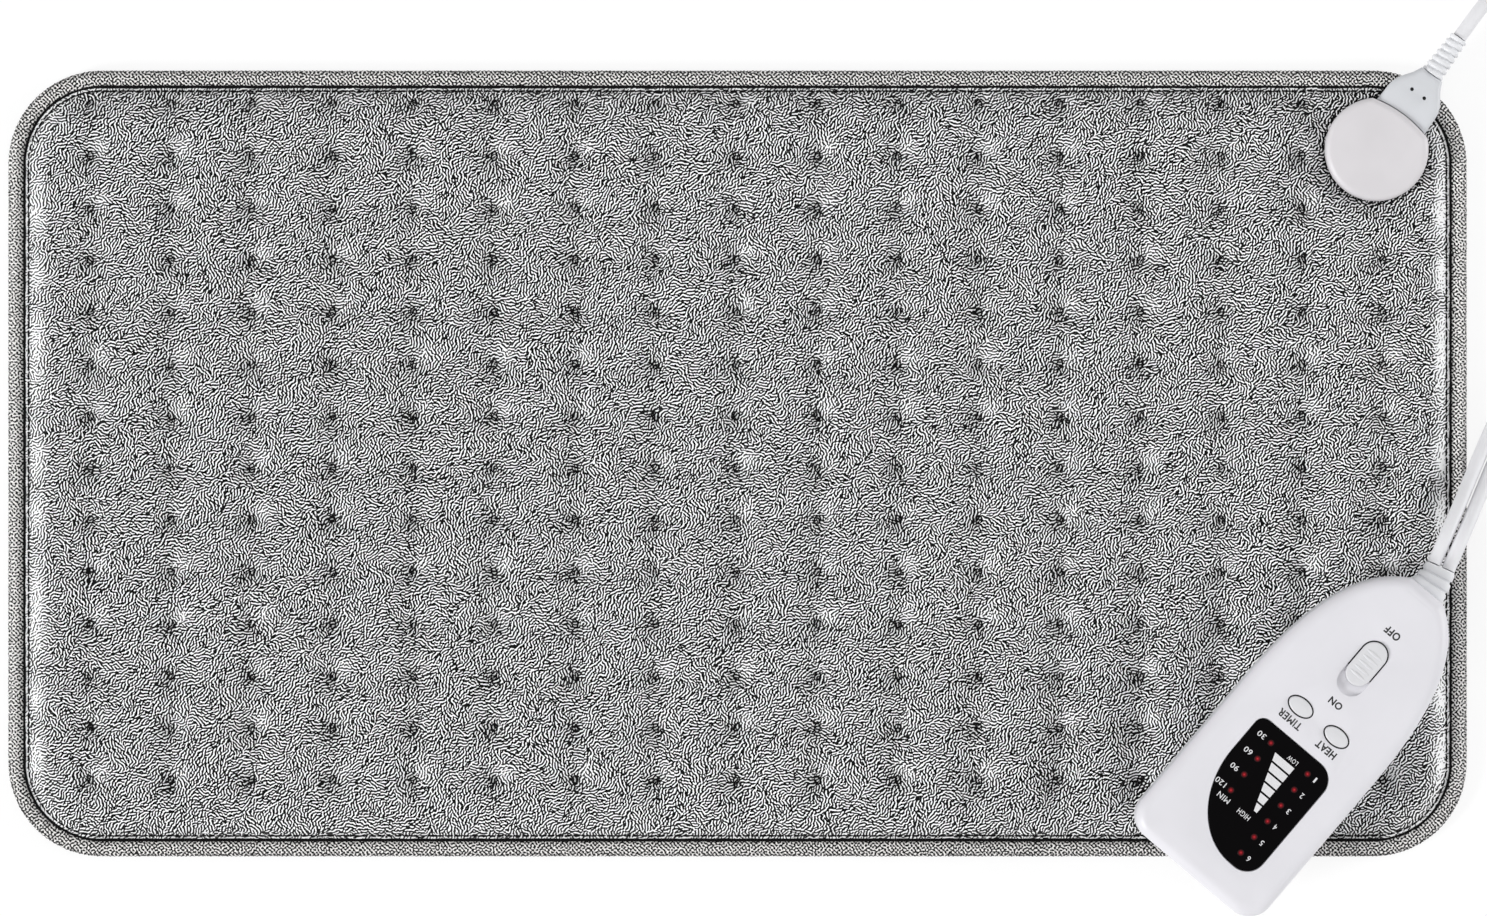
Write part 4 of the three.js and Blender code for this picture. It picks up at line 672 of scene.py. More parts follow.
def fromCollar(side, ahead, share):  # a place before the collar, sunk by a share of the way to the floor
    run = Vector((collar["lean"], collar["end"] - collar["curve"])).normalized()
    drop = share * (places["controller"][2] + collar["parting"] - cordSize["floor"])
    sideways = side * cordSize["spacing"] / 2
    out = cordSize["gap"] + ahead
    x = collar["lean"] + run.y * sideways + run.x * out
    y = collar["end"] - run.x * sideways + run.y * out
    return onStand("controller", x, y, collar["parting"] - drop)


def onFloor(route):
    return [np.array((padEdge + p[0], p[1], p[2] if len(p) > 2 else cordSize["floor"])) for p in route]


def coilPoints():  # inwards on the floor, then outwards on top
    whole = 2 * math.pi * coil["loops"]
    count = coil["loops"] * coil["steps"]
    made = []
    for i in range(count + 1):
        turn = whole * i / count
        beyond = turn - whole / 2
        radius = coil["inner"] + coil["pitch"] * abs(beyond) / (2 * math.pi)
        share = min(max((beyond + math.pi / 2) / math.pi, 0), 1)
        z = coil["low"] + coil["layer"] * share * share * (3 - 2 * share)
        made.append(np.array((coil["x"] + radius * math.cos(turn), coil["y"] - radius * math.sin(turn), z)))
    return made


def tubeMesh(points, radius, sides):
    loops = []
    for i, p in enumerate(points):
        ahead = points[min(i + 1, len(points) - 1)] - points[max(i - 1, 0)]
        ahead /= np.linalg.norm(ahead)
        side = np.cross((0, 0, 1.0), ahead)
        side /= np.linalg.norm(side)
        top = np.cross(ahead, side)
        loops.append([p + radius * (math.cos(a) * side + math.sin(a) * top) for a in ringAngles(sides)])
    return loopsMesh(loops)


def padLead():
    start = leadExit["start"]
    points = [onStand("connector", 0, start, leadExit["height"])]
    points += [onStand("connector", 0, start + leadExit["ahead"], leadExit["lower"])]
    points += onFloor(leadRoute) + [fromCollar(-1, *lastDrop["lead"])]
    points += [fromCollar(-1, *step) for step in reversed(collarDrop)]
    line = smoothRoute(points)
    mesh = tubeMesh(line, cordSize["diameter"] / 2, cordSize["sides"])
    piece = placed("padLead", mesh, "pad")
    dress(piece, None, "cord_sheath", ["pad_lead"])
    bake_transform(piece)


def mainsCord():
    points = [fromCollar(1, *step) for step in collarDrop] + [fromCollar(1, *lastDrop["mains"])]
    points += onFloor(mainsRoute)
    x = coil["x"] + coil["inner"] + coil["pitch"] * coil["loops"] / 2
    low, high, plugHeight = coil["low"], coil["low"] + coil["layer"], places["mainsPlug"][2]
    heights = ((cordSize["floor"] + low) / 2, low, low)
    points += [np.array((x, coil["y"] + ahead, z)) for ahead, z in zip(coil["entry"], heights)]
    start = coil["y"] - coil["entry"][-1]
    tail = [(0, high), (0.2, high), (0.5, (high + plugHeight) / 2), (0.8, plugHeight), (1, plugHeight)]
    tail = [np.array((x, start - coil["tail"] * share, z)) for share, z in tail]
    line = smoothRoute(points) + coilPoints() + smoothRoute(tail)
    piece = polyCurve("mainsCord", line)
    piece.data.bevel_depth = cordSize["diameter"] / 2 * mm
    piece.data.bevel_resolution = 4
    piece.data.use_fill_caps = True
    dress(piece, root, "cord_sheath", ["mains_run", "mains_coil", "mains_tail"], sharp=0)
    return piece, tuple(line[0] * mm), routeLength([p * mm for p in line])


padLead()
mains, mainsExit, mainsLength = mainsCord()
print("mains cord", round(mainsLength, 3), "m")

# Mains plug: ribbed boot, then a body that swells to a boxy grip
mainsPlug = {"boot": 18, "bootStart": 3.9, "bootEnd": 5.2, "ribs": 4}
mainsPlug |= {"length": 29, "half": 12, "rise": 8, "sides": 48}
mainsPlug["groove"] = (1.2, 0.6, 0.25, 0.1)  # width, depth, lip and wall
# Along the grip: shares of its width and its height, and how square it is
mainsPlug["shape"] = [(0.04, 0.52, 0.68, 2.2), (0.1, 0.78, 0.82, 3), (0.21, 0.95, 0.96, 3.5)]
mainsPlug["shape"] += [(0.35, 1, 1, 4), (0.6, 0.97, 0.99, 4), (0.92, 1, 1, 4)]
mainsPlug["shape"] += [(0.97, 0.985, 0.975, 4), (1, 0.92, 0.88, 4)]


def mainsPlugPiece():
    m = mainsPlug
    pitch = m["boot"] / (m["ribs"] + 1)
    stations = [(0, 0.35), (0.3, 0)]
    stations += grooves([rib * pitch for rib in range(1, m["ribs"] + 1)], *m["groove"])
    loops = []
    for y, depth in stations + [(m["boot"], 0)]:
        size = m["bootStart"] + (m["bootEnd"] - m["bootStart"]) * y / m["boot"] - depth
        loops.append(boxyLoop(y, size, size, 2, m["sides"]))
    for along, wide, tall, power in m["shape"]:
        y = m["boot"] + along * m["length"]
        loops.append(boxyLoop(y, wide * m["half"], tall * m["rise"], power, m["sides"]))
    piece = placed("mainsPlugGrip", loopsMesh([loop[::-1] for loop in loops]), "mainsPlug")
    return dress(piece, root, "white_rubber", ["mains_plug_body"])


onMains = [mainsPlugPiece()] + [bpy.data.objects[n] for n in ("line_blade", "neutral_blade", "coil_tie")]
print("mains plug made")

# Quilt: a plush skin held at its rim, at the tufts and under the connector, and blown up between them
quilt = {
    "length": 584.4,
    "width": 314.8,
    "corner": 37.5,
    "rim": 4.4,  # pad edge to the skin's rim, under the tape
    "rimHeight": 4.5,
    "hemBottom": 2.35,
    "columns": 17,
    "rows": 14,
    "margins": (33.2, 34.0, 30.8, 13.6),  # left, right, bottom, top
    "crease": 6.4,  # pad edge to the tape's inner edge
    "seam": 8.3,  # pad edge to the stitches beside the tape
    "seamHeight": 5.6,
    "tuft": 10.1,
    "tuftSpan": (15.5, 10.0),  # from a tuft to where the pillow is full
    "crown": 14.8,
    "overCrown": 0.4,
    "startRise": 0.6,  # share of the pillow's height before it is blown up
    "wadding": 8.5,  # the skin stays above the wadding
    "waddingEdge": (14, 4),  # from the pad's edge and from the connector
    "fall": 14.0,  # width of the slope inside the seam
    "step": 3.3,
    "edgeSteps": (0, 0.9, 1.6, 2.2, 2.9, 3.9, 4.6, 5.5, 7.0, 9.2),  # closer rows along the rim
    "pocket": 6.6,  # height under the connector, and how the limit rises around it
    "pocketRise": (8.0, -0.5, 9.0),
    "fill": 0.45,
}
# What the simulation holds in place, and how far it may move the rest
blowing = {"tack": 2.3, "tackInside": 10, "tackOutside": 6, "underSocket": 3, "stitch": 0.3, "farthest": 6.0}
blowing |= {"frames": 18, "enlarge": 20.0}  # the cloth is simulated larger, where its settings work well
skinCloth = {"quality": 5, "mass": 0.3, "tension_stiffness": 20, "compression_stiffness": 20}
skinCloth |= {"shear_stiffness": 8, "bending_stiffness": 1.5, "air_damping": 2.0}
skinCloth |= {"use_pressure": True, "uniform_pressure_force": 6.0, "shrink_min": -0.03}
# The connector from above: the disc, then the half width along the plug
connectorPlan = {"disc": 20.6, "along": [0, 24, 33, 37, 60], "half": [12.2, 11.5, 6.2, 4.9, 3.9], "end": 56}


def tuftLines():
    q = quilt
    left, right, bottom, top = q["margins"]
    xs = np.linspace(left - q["length"] / 2, q["length"] / 2 - right, q["columns"])
    ys = np.linspace(bottom - q["width"] / 2, q["width"] / 2 - top, q["rows"])
    return xs, ys


def edgeDistance(x, y):  # how far inside the pad's outline
    q = quilt
    overX = np.abs(x) - (q["length"] / 2 - q["corner"])
    overY = np.abs(y) - (q["width"] / 2 - q["corner"])
    outside = np.hypot(np.maximum(overX, 0), np.maximum(overY, 0))
    return q["corner"] - outside - np.minimum(np.maximum(overX, overY), 0)


def fromNearest(value, lines):
    step = np.rint((value - lines[0]) / (lines[1] - lines[0]))
    return value - lines[np.clip(step, 0, len(lines) - 1).astype(int)]


def toTuft(x, y):
    xs, ys = tuftLines()
    return fromNearest(x, xs), fromNearest(y, ys)


def fromConnectorEdge(x, y):  # distance outside the socket and the plug, seen from above
    c = connectorPlan
    middleX, middleY, _, degrees = places["connector"]
    turn = math.radians(degrees)
    dx, dy = x - middleX, y - middleY
    px = dx * math.cos(turn) + dy * math.sin(turn)
    py = -dx * math.sin(turn) + dy * math.cos(turn)
    half = np.interp(py, c["along"], c["half"])
    plug = np.maximum(np.abs(px) - half, np.maximum(-py, py - c["end"]))
    return np.minimum(np.hypot(px, py) - c["disc"], plug)


def smoothStep(value, low, high):
    share = np.clip((value - low) / (high - low), 0, 1)
    return share * share * (3 - 2 * share)


def hump(distance, width):
    return np.exp(-((distance / width) ** 2))


def pressed(x, y, z):  # sinks the skin under the socket and the plug
    rise, low, high = quilt["pocketRise"]
    return np.minimum(z, quilt["pocket"] + rise * smoothStep(fromConnectorEdge(x, y), low, high))


def spacedLine(reach, count):  # from -reach to reach, closer at both ends
    ends = np.array(quilt["edgeSteps"], float)
    middle = np.linspace(ends[-1] - reach, reach - ends[-1], count - 2 * len(ends) + 8)
    return np.concatenate([ends[:-1] - reach, middle, reach - ends[-2::-1]])


def padReach(margin):  # half the length, half the width and the corner of the pad less a margin
    return quilt["length"] / 2 - margin, quilt["width"] / 2 - margin, quilt["corner"] - margin


def rowReach(rows, margin):  # half the length of each row across the pad
    reachX, reachY, radius = padReach(margin)
    over = np.maximum(np.abs(rows) - (reachY - radius), 0)
    return reachX - radius + np.sqrt(np.maximum(radius**2 - over**2, 0))


def gridFaces(rows, columns):  # faces between points that lie in rows
    corners = [j * columns + i for j in range(rows - 1) for i in range(columns - 1)]
    return [(a, a + 1, a + columns + 1, a + columns) for a in corners]


def skinGrid():
    reachX, reachY, _ = padReach(quilt["rim"])
    rows = spacedLine(reachY, round(2 * reachY / quilt["step"]))
    count = round(2 * reachX / quilt["step"])
    x = np.array([spacedLine(reach, count) for reach in rowReach(rows, quilt["rim"])])
    y = np.repeat(rows[:, None], x.shape[1], axis=1)
    border = np.ones(x.shape, bool)
    border[1:-1, 1:-1] = False
    return x.ravel(), y.ravel(), gridFaces(*x.shape), border.ravel()


def startHeight(x, y):
    q = quilt
    dx, dy = toTuft(x, y)
    away = np.clip(np.hypot(dx / q["tuftSpan"][0], dy / q["tuftSpan"][1]), 0, 1)
    body = q["tuft"] + (q["crown"] - q["tuft"]) * q["startRise"] * away
    inside = edgeDistance(x, y)
    rise = np.sqrt(smoothStep(inside, q["seam"], q["seam"] + q["fall"]))
    edge = np.interp(inside, [q["crease"], q["seam"]], [q["rimHeight"], q["seamHeight"]])
    return pressed(x, y, edge + (body - edge) * rise)


def blownUp(points, faces, held):  # where the cloth comes to rest
    big = blowing["enlarge"] * mm
    sheet = newObject("skin", newMesh(points * big, faces))
    group = sheet.vertex_groups.new(name="held")
    group.add([int(i) for i in np.nonzero(held)[0]], 1.0, "REPLACE")
    cloth = sheet.modifiers.new("cloth", "CLOTH")
    for key, value in skinCloth.items():
        setattr(cloth.settings, key, value)
    cloth.settings.vertex_group_mass = "held"
    cloth.settings.effector_weights.gravity = 0
    cloth.collision_settings.use_collision = False
    cloth.point_cache.frame_end = blowing["frames"]
    for step in range(1, blowing["frames"] + 1):
        scene.frame_set(step)
    settled = coordinates(evaluated(sheet)) / big
    scene.frame_set(1)
    moved = settled - points
    far = np.linalg.norm(moved, axis=1, keepdims=True)
    print("cloth moved up to", round(float(far.max()), 2), "mm, top at", round(float(settled[:, 2].max()), 2))
    return points + moved * np.minimum(1, blowing["farthest"] / np.maximum(far, 1e-9))


def blownSkin():
    q, b = quilt, blowing
    x, y, faces, border = skinGrid()
    inside, outside = edgeDistance(x, y), fromConnectorEdge(x, y)
    spots = (np.hypot(*toTuft(x, y)) < b["tack"]) & (inside > b["tackInside"]) & (outside > b["tackOutside"])
    stitched = np.abs(inside - q["seam"]) < b["stitch"]
    held = border | spots | stitched | (outside < b["underSocket"]) | (inside < q["crease"])
    z = np.where(spots, q["tuft"], startHeight(x, y))
    x, y, z = blownUp(np.stack([x, y, z], axis=1), faces, held).T
    over, top = z - q["tuft"], np.percentile(z, 99.5) - q["tuft"]
    z = np.where(over > 0, q["tuft"] + over * (q["crown"] - q["tuft"]) / top, z)
    z = pressed(x, y, np.minimum(z, q["crown"] + q["overCrown"]))
    return newMesh(np.stack([x, y, z], axis=1), faces)


# Finer skin with the tufts' dimples and puckers and the furrow that the seam sits in
tufting = {"depth": 2.1, "width": 3.7, "pucker": 0.3, "puckerStart": 3, "reach": 4.0625, "folds": 7}
tufting |= {"outside": (2, 9), "inside": (8.5, 12)}  # they fade out at the connector and at the seam
furrow = {"depth": 0.5, "width": 0.6, "outside": (0, 4)}
# Painted shade and painted light on the nap: darker at the tufts, at the crease and round the connector;
# paler in bands along the pad's ends, in a patch behind each tuft and in a line beside the seam
napLightAndShade = {
    "tuftShade": (0.13, 6.0),  # strength and width
    "creaseWidth": 0.5,
    "socketShade": (0.7, 0.3, 0.7),  # strength, place and width
    "endBands": (26, 12),  # from the pad's ends
    "leftBand": (0.43, 3.4, 3.6),  # strength, place inside the seam and width
    "rightBand": (0.85, 2.0, 2.8),
    "behindTuft": (4.0, 3.2, 3.6),  # right, up and width
    "behindShade": (0.18, 0.12),  # steady and uneven
    "paleLine": (0.1, 0.45),  # off the middle between the crease and the stitches, and width
    "paleEnds": (0.45, 30, 14),  # least strength, and from the pad's ends
}


def freeCloth(x, y):
    outside = smoothStep(fromConnectorEdge(x, y), *tufting["outside"])
    return outside * smoothStep(edgeDistance(x, y), *tufting["inside"])


def tuftTurn(x, y, dx, dy):  # each tuft's own turn
    return np.sin(0.37 * (x - dx)) * 3 + np.cos(0.53 * (y - dy)) * 3


def dimpled(x, y, z):
    t, q = tufting, quilt
    dx, dy = toTuft(x, y)
    away = np.hypot(dx, dy)
    free, inside, outside = freeCloth(x, y), edgeDistance(x, y), fromConnectorEdge(x, y)
    folds = np.cos(t["folds"] * np.arctan2(dy, dx) + tuftTurn(x, y, dx, dy))
    z = z - free * t["depth"] * hump(away, t["width"])
    z += free * t["pucker"] * folds * (away / t["puckerStart"]) * hump(away, t["reach"])
    line = hump(inside - q["seam"], furrow["width"]) * smoothStep(outside, *furrow["outside"])
    z -= furrow["depth"] * line
    overWadding = (inside > q["waddingEdge"][0]) & (outside > q["waddingEdge"][1])
    return np.where(overWadding, np.maximum(z, q["wadding"]), z)


# painted shade: darker nap at the tufts, in the crease at the tape and round the connector
def napPaintedShade(x, y):
    strength, width = napLightAndShade["tuftShade"]
    paintedShade = freeCloth(x, y) * strength * hump(np.hypot(*toTuft(x, y)), width)
    paintedShade = np.maximum(paintedShade, hump(edgeDistance(x, y) - quilt["crease"], napLightAndShade["creaseWidth"]))
    strength, place, width = napLightAndShade["socketShade"]
    return np.maximum(paintedShade, strength * hump(fromConnectorEdge(x, y) - place, width))


# painted light: paler nap in bands along the pad's ends, behind each tuft and in a line beside the seam
def napPaintedLight(x, y):
    n, seam, end = napLightAndShade, quilt["seam"], quilt["length"] / 2
    dx, dy = toTuft(x, y)
    inside = edgeDistance(x, y)
    bands = {}
    for side in ("leftBand", "rightBand"):
        strength, place, width = n[side]
        bands[side] = strength * hump(inside - seam - place, width)
    sides = smoothStep(np.abs(x), end - n["endBands"][0], end - n["endBands"][1]) * (inside > seam)
    patches = 0.62 + 0.38 * np.sin(0.19 * y + 1.6 * np.sin(0.071 * y + 0.8))  # uneven along the pad's ends
    paintedLight = sides * np.where(x > 0, bands["rightBand"], bands["leftBand"]) * patches
    right, up, width = n["behindTuft"]
    steady, uneven = n["behindShade"]
    paintedHighlight = hump(dx - right, width) * hump(dy - up, width)
    shade = steady + uneven * np.sin(tuftTurn(x, y, dx, dy))
    paintedLight = np.maximum(paintedLight, freeCloth(x, y) * paintedHighlight * shade)
    off, width = n["paleLine"]
    least, outer, inner = n["paleEnds"]
    ends = least + (1 - least) * smoothStep(np.abs(x), end - outer, end - inner)
    between = (quilt["crease"] + seam) / 2 + off
    return np.maximum(paintedLight, ends * hump(inside - between, width))


def quiltPiece():
    sheet = newObject("skin", blownSkin())
    subdivision = sheet.modifiers.new("finer", "SUBSURF")
    subdivision.levels = subdivision.render_levels = 1
    mesh = evaluated(sheet)
    x, y, z = coordinates(mesh).T.copy()
    mesh.vertices.foreach_set("co", np.stack([x, y, dimpled(x, y, z)], axis=1).ravel())
    # painted shade and painted light, read by the nap's material
    addAttribute(mesh, "paintedShade", np.clip(napPaintedShade(x, y), 0, 1))
    addAttribute(mesh, "paintedLight", np.clip(napPaintedLight(x, y), 0, 1))
    piece = placed("plushQuilt", outward(mesh, hem=quilt["hemBottom"]), "pad")
    dress(piece, root, "plush", ["quilted_top_panel"], sharp=60)
    print("quilt made with", len(mesh.polygons), "faces")
    return piece


plushQuilt = quiltPiece()


# Geometry Nodes: trees with named inputs, baked to plain meshes
def newTree(name, inputs):
    tree = bpy.data.node_groups.new(name, "GeometryNodeTree")
    tree.interface.new_socket(name="Geometry", in_out="INPUT", socket_type="NodeSocketGeometry")
    for title, kind in inputs:
        tree.interface.new_socket(name=title, in_out="INPUT", socket_type="NodeSocket" + kind)
    tree.interface.new_socket(name="Geometry", in_out="OUTPUT", socket_type="NodeSocketGeometry")
    return tree, addNode(tree, "NodeGroupInput").outputs


def endTree(tree, geometry, material):
    real = result(tree, "GeometryNodeRealizeInstances", {"Geometry": geometry})
    smooth = result(tree, "GeometryNodeSetShadeSmooth", {"Geometry": real})
    painted = result(tree, "GeometryNodeSetMaterial", {"Geometry": smooth, "Material": material})
    addNode(tree, "NodeGroupOutput", {"Geometry": painted})
    return tree


def copies(tree, **inputs):  # an instance on every point
    return result(tree, "GeometryNodeInstanceOnPoints", inputs)


def combine(tree, x, y, z):
    return result(tree, "ShaderNodeCombineXYZ", {0: x, 1: y, 2: z})


def stored(tree, geometry, name, value):
    inputs = {"Geometry": geometry, "Name": name, "Value": value}
    return result(tree, "GeometryNodeStoreNamedAttribute", inputs)


def circle(tree, sides, width):
    inputs = {"Resolution": sides, "Radius": maths(tree, "MULTIPLY", width, 0.5)}
    return result(tree, "GeometryNodeCurvePrimitiveCircle", inputs)


def sweep(tree, curve, profile, inputs={}):
    return result(tree, "GeometryNodeCurveToMesh", {"Curve": curve, "Profile Curve": profile, **inputs})


def bake(name, carrier, tree, values):
    modifier = carrier.modifiers.new("nodes", "NODES")
    modifier.node_group = tree
    for item in tree.interface.items_tree:
        if item.in_out == "INPUT" and item.name in values:
            modifier[item.identifier] = values[item.name]
    return newObject(name, evaluated(carrier))


def inMetres(settings, *names):
    return {name: settings[name.lower()] * mm for name in names}


def pathCurve(points, closed=True):
    path = polyCurve("path", points, closed)
    path.data.twist_mode = "Z_UP"
    return path


def padLoop(distance, steps=24):
    x, y, radius = padReach(distance)
    return roundedBox(-x, x, -y, y, radius, steps)


# Binding tape: folded round the rim, with ribs across it
binding = {"width": 6.6, "height": 6.1, "cloth": 0.8, "power": 2.2, "opening": 32}
binding |= {"ribs": 1020, "perRib": 4, "ribHeight": 0.045}
binding["outer"] = (0.0014, 0.0028)  # where the grooves' shade sets in across the tape, in metres


def bindingProfile():
    b = binding
    limit = 180 - b["opening"]
    made = []
    for grow, angles in ((0, np.linspace(-limit, limit, 13)), (b["cloth"], np.linspace(limit, -limit, 9))):
        for angle in np.radians(angles):
            x, z = boxy(angle, b["width"] / 2 - grow, b["height"] / 2 - grow, b["power"])
            made.append((x, z, 0))
    return pathCurve(made)


def bindingTree():
    inputs = [("Profile", "Object"), ("Ribs", "Int"), ("Samples per rib", "Int"), ("Rib height", "Float")]
    tree, source = newTree("ribbedBinding", inputs + [("Tape", "Material")])
    count = maths(tree, "MULTIPLY", source["Ribs"], source["Samples per rib"])
    line = result(tree, "GeometryNodeResampleCurve", {"Curve": source["Geometry"], "Count": count})
    index = result(tree, "GeometryNodeInputIndex")
    turn = maths(tree, "MULTIPLY", maths(tree, "DIVIDE", index, source["Samples per rib"]), 2 * math.pi)
    wave = maths(tree, "COSINE", turn)
    line = stored(tree, line, "rib", maths(tree, "MULTIPLY", maths(tree, "ADD", wave, 1.0), 0.5))
    profile = result(tree, "GeometryNodeObjectInfo", {"Object": source["Profile"]}, "Geometry")
    across = result(tree, "ShaderNodeSeparateXYZ", {0: result(tree, "GeometryNodeInputPosition")})
    profile = stored(tree, profile, "outer", rising(tree, across, *binding["outer"]))
    size = maths(tree, "ADD", maths(tree, "MULTIPLY", wave, source["Rib height"]), 1.0)
    return endTree(tree, sweep(tree, line, profile, {"Scale": size}), source["Tape"])


def bindingPiece():
    b = binding
    middle = b["height"] / 2 * (1 + b["ribHeight"])  # the ribs just reach the floor
    path = pathCurve([(x, y, middle) for x, y in padLoop(b["width"] / 2)])
    profile = bindingProfile()
    values = {"Profile": profile, "Ribs": b["ribs"], "Samples per rib": b["perRib"]}
    values |= {"Rib height": b["ribHeight"], "Tape": finishes["binding_tape"]}
    piece = bake("edgeTape", path, bindingTree(), values)
    bpy.data.objects.remove(profile)
    outward(piece.data)
    dress(piece, root, "binding_tape", ["edge_binding"], sharp=70)
    print("binding made with", len(piece.data.polygons), "faces")
    return piece


edgeTape = bindingPiece()

# Seam stitches on the plush beside the tape, a thin dark cord in the crease as painted shadow, and a tack in
# each tuft
stitching = {"pitch": 3.4, "length": 3.2, "thread": 0.95, "lift": 0.2, "fromPlug": 0.8, "sampling": 3}
creaseShadow = {"thickness": 1.2, "inside": 0.2, "lift": 0.1}
tacking = {"length": 3.6, "width": 2.3, "thread": 0.6, "lift": 0.45, "sway": 0.35, "seed": 7}
tacking |= {"inside": 11, "outside": 6}  # none nearer to the pad's edge or to the connector


def skinHeights(points, lift):  # heights on the quilt at places seen from above
    shown = plushQuilt.evaluated_get(bpy.context.evaluated_depsgraph_get())
    made = []
    for x, y in points:
        hit, where, *_ = shown.ray_cast((x * mm, y * mm, 0.1), (0, 0, -1))
        made.append((x, y, where.z / mm + lift) if hit else (x, y, 6))
    return made


def stitchTree():
    inputs = [("Pitch", "Float"), ("Length", "Float"), ("Thread", "Float"), ("Yarn", "Material")]
    tree, source = newTree("stitchRow", inputs)
    ball = result(tree, "GeometryNodeMeshUVSphere", {"Radius": 0.5, "Segments": 8, "Rings": 5}, "Mesh")
    size = combine(tree, source["Length"], source["Thread"], source["Thread"])
    spaced = {"Curve": source["Geometry"], "Length": source["Pitch"]}
    points = result(tree, "GeometryNodeResampleCurve", spaced, mode="LENGTH")
    tangent = result(tree, "GeometryNodeInputTangent")
    rotation = result(tree, "FunctionNodeAlignRotationToVector", {"Vector": tangent}, axis="X")
    row = copies(tree, Points=points, Instance=ball, Rotation=rotation, Scale=size)
    return endTree(tree, row, source["Yarn"])


def creaseShadowTree():
    tree, source = newTree("creaseShadowSweep", [("Thickness", "Float"), ("Yarn", "Material")])
    ring = circle(tree, 6, source["Thickness"])
    return endTree(tree, sweep(tree, source["Geometry"], ring), source["Yarn"])


def tackTree():  # an oval loop of thread at every tuft, each leaning a little
    inputs = [("Length", "Float"), ("Width", "Float"), ("Thread", "Float"), ("Sway", "Float")]
    tree, source = newTree("tackGrid", inputs + [("Seed", "Int"), ("Yarn", "Material")])
    long = maths(tree, "DIVIDE", source["Length"], source["Width"])
    stretch = {"Geometry": circle(tree, 10, source["Width"]), "Scale": combine(tree, 1.0, long, 1.0)}
    loop = result(tree, "GeometryNodeTransform", stretch)
    yarn = sweep(tree, loop, circle(tree, 4, source["Thread"]))
    lean = {"Seed": source["Seed"], 2: maths(tree, "MULTIPLY", source["Sway"], -1.0), 3: source["Sway"]}
    turn = result(tree, "FunctionNodeRandomValue", lean, 1, data_type="FLOAT")
    rotation = result(tree, "FunctionNodeEulerToRotation", {0: combine(tree, 0.0, 0.0, turn)})
    tacks = copies(tree, Points=source["Geometry"], Instance=yarn, Rotation=rotation)
    return endTree(tree, tacks, source["Yarn"])


def stitchPiece():
    s = stitching
    loop = padLoop(quilt["seam"], 40)
    dense = []
    for a, b in zip(loop, loop[1:] + loop[:1]):
        count = max(1, round(math.dist(a, b) / s["sampling"]))
        dense += [tuple(p + (q - p) * i / count for p, q in zip(a, b)) for i in range(count)]
    outside = fromConnectorEdge(*np.array(dense).T)
    dense = [p for p, away in zip(dense, outside) if away > s["fromPlug"]]
    steps = [math.dist(dense[i - 1], dense[i]) for i in range(len(dense))]
    gap = steps.index(max(steps))  # the row starts and ends at the connector
    path = pathCurve(skinHeights(dense[gap:] + dense[:gap], s["lift"]), closed=False)
    values = inMetres(s, "Pitch", "Length", "Thread") | {"Yarn": thread}
    piece = bake("seamStitches", path, stitchTree(), values)
    return dress(piece, root, "binding_tape", material=thread, sharp=0)


# painted shadow: a thin dark cord along the gap at the tape's inner edge
def creaseShadowPiece():
    loop = skinHeights(padLoop(quilt["crease"] + creaseShadow["inside"], 40), creaseShadow["lift"])
    values = inMetres(creaseShadow, "Thickness") | {"Yarn": thread}
    piece = bake("tapeCrease", pathCurve(loop), creaseShadowTree(), values)
    dress(piece, root, "binding_tape", material=thread, sharp=0)


def tackPiece():
    t = tacking
    xs, ys = tuftLines()
    spots = np.array([(x, y) for y in ys for x in xs])
    outside, inside = fromConnectorEdge(*spots.T), edgeDistance(*spots.T)
    spots = spots[(outside > t["outside"]) & (inside > t["inside"])]
    carrier = newObject("tufts", newMesh(np.array(skinHeights(spots, t["lift"])) * mm, []))
    values = inMetres(t, "Length", "Width", "Thread")
    values |= {"Sway": t["sway"], "Seed": t["seed"], "Yarn": thread}
    piece = bake("tuftTacks", carrier, tackTree(), values)
    dress(piece, root, "plush", material=thread, sharp=0)
    print("tacks made with", len(piece.data.polygons), "faces")


seamStitches = stitchPiece()
print("stitches made with", len(seamStitches.data.polygons), "faces")
creaseShadowPiece()
tackPiece()

# Back cloth: a thin flat sheet inside the tape, drawn up a little at the tufts
backing = {"inset": 1.6, "low": 0.0, "high": 1.7, "step": 5.0, "pucker": 0.35, "puckerWidth": 4.0}
backing |= {"fold": 1.05, "foldEdges": (4.5, 7.5)}  # it goes over the tape's fold


def backPiece():
    b = backing
    reachX, reachY, _ = padReach(b["inset"])
    columns, count = round(2 * reachX / b["step"]) + 1, round(2 * reachY / b["step"]) + 1
    rows = np.linspace(-reachY, reachY, count)
    x = (rowReach(rows, b["inset"])[:, None] * np.linspace(-1, 1, columns)[None, :]).ravel()
    y = np.repeat(rows, columns)
    low = b["low"] + b["pucker"] * hump(np.hypot(*toTuft(x, y)), b["puckerWidth"])
    low = np.maximum(low, b["fold"] * (1 - smoothStep(edgeDistance(x, y), *b["foldEdges"])))
    faces = [face[:1] + face[:0:-1] for face in gridFaces(count, columns)]  # seen from below
    mesh = newMesh(np.stack([x, y, low], axis=1), faces)
    piece = placed("backCloth", outward(mesh, hem=b["high"]), "pad")
    dress(piece, root, "back_cloth", ["back_panel"], sharp=50)
    print("back cloth made")


backPiece()

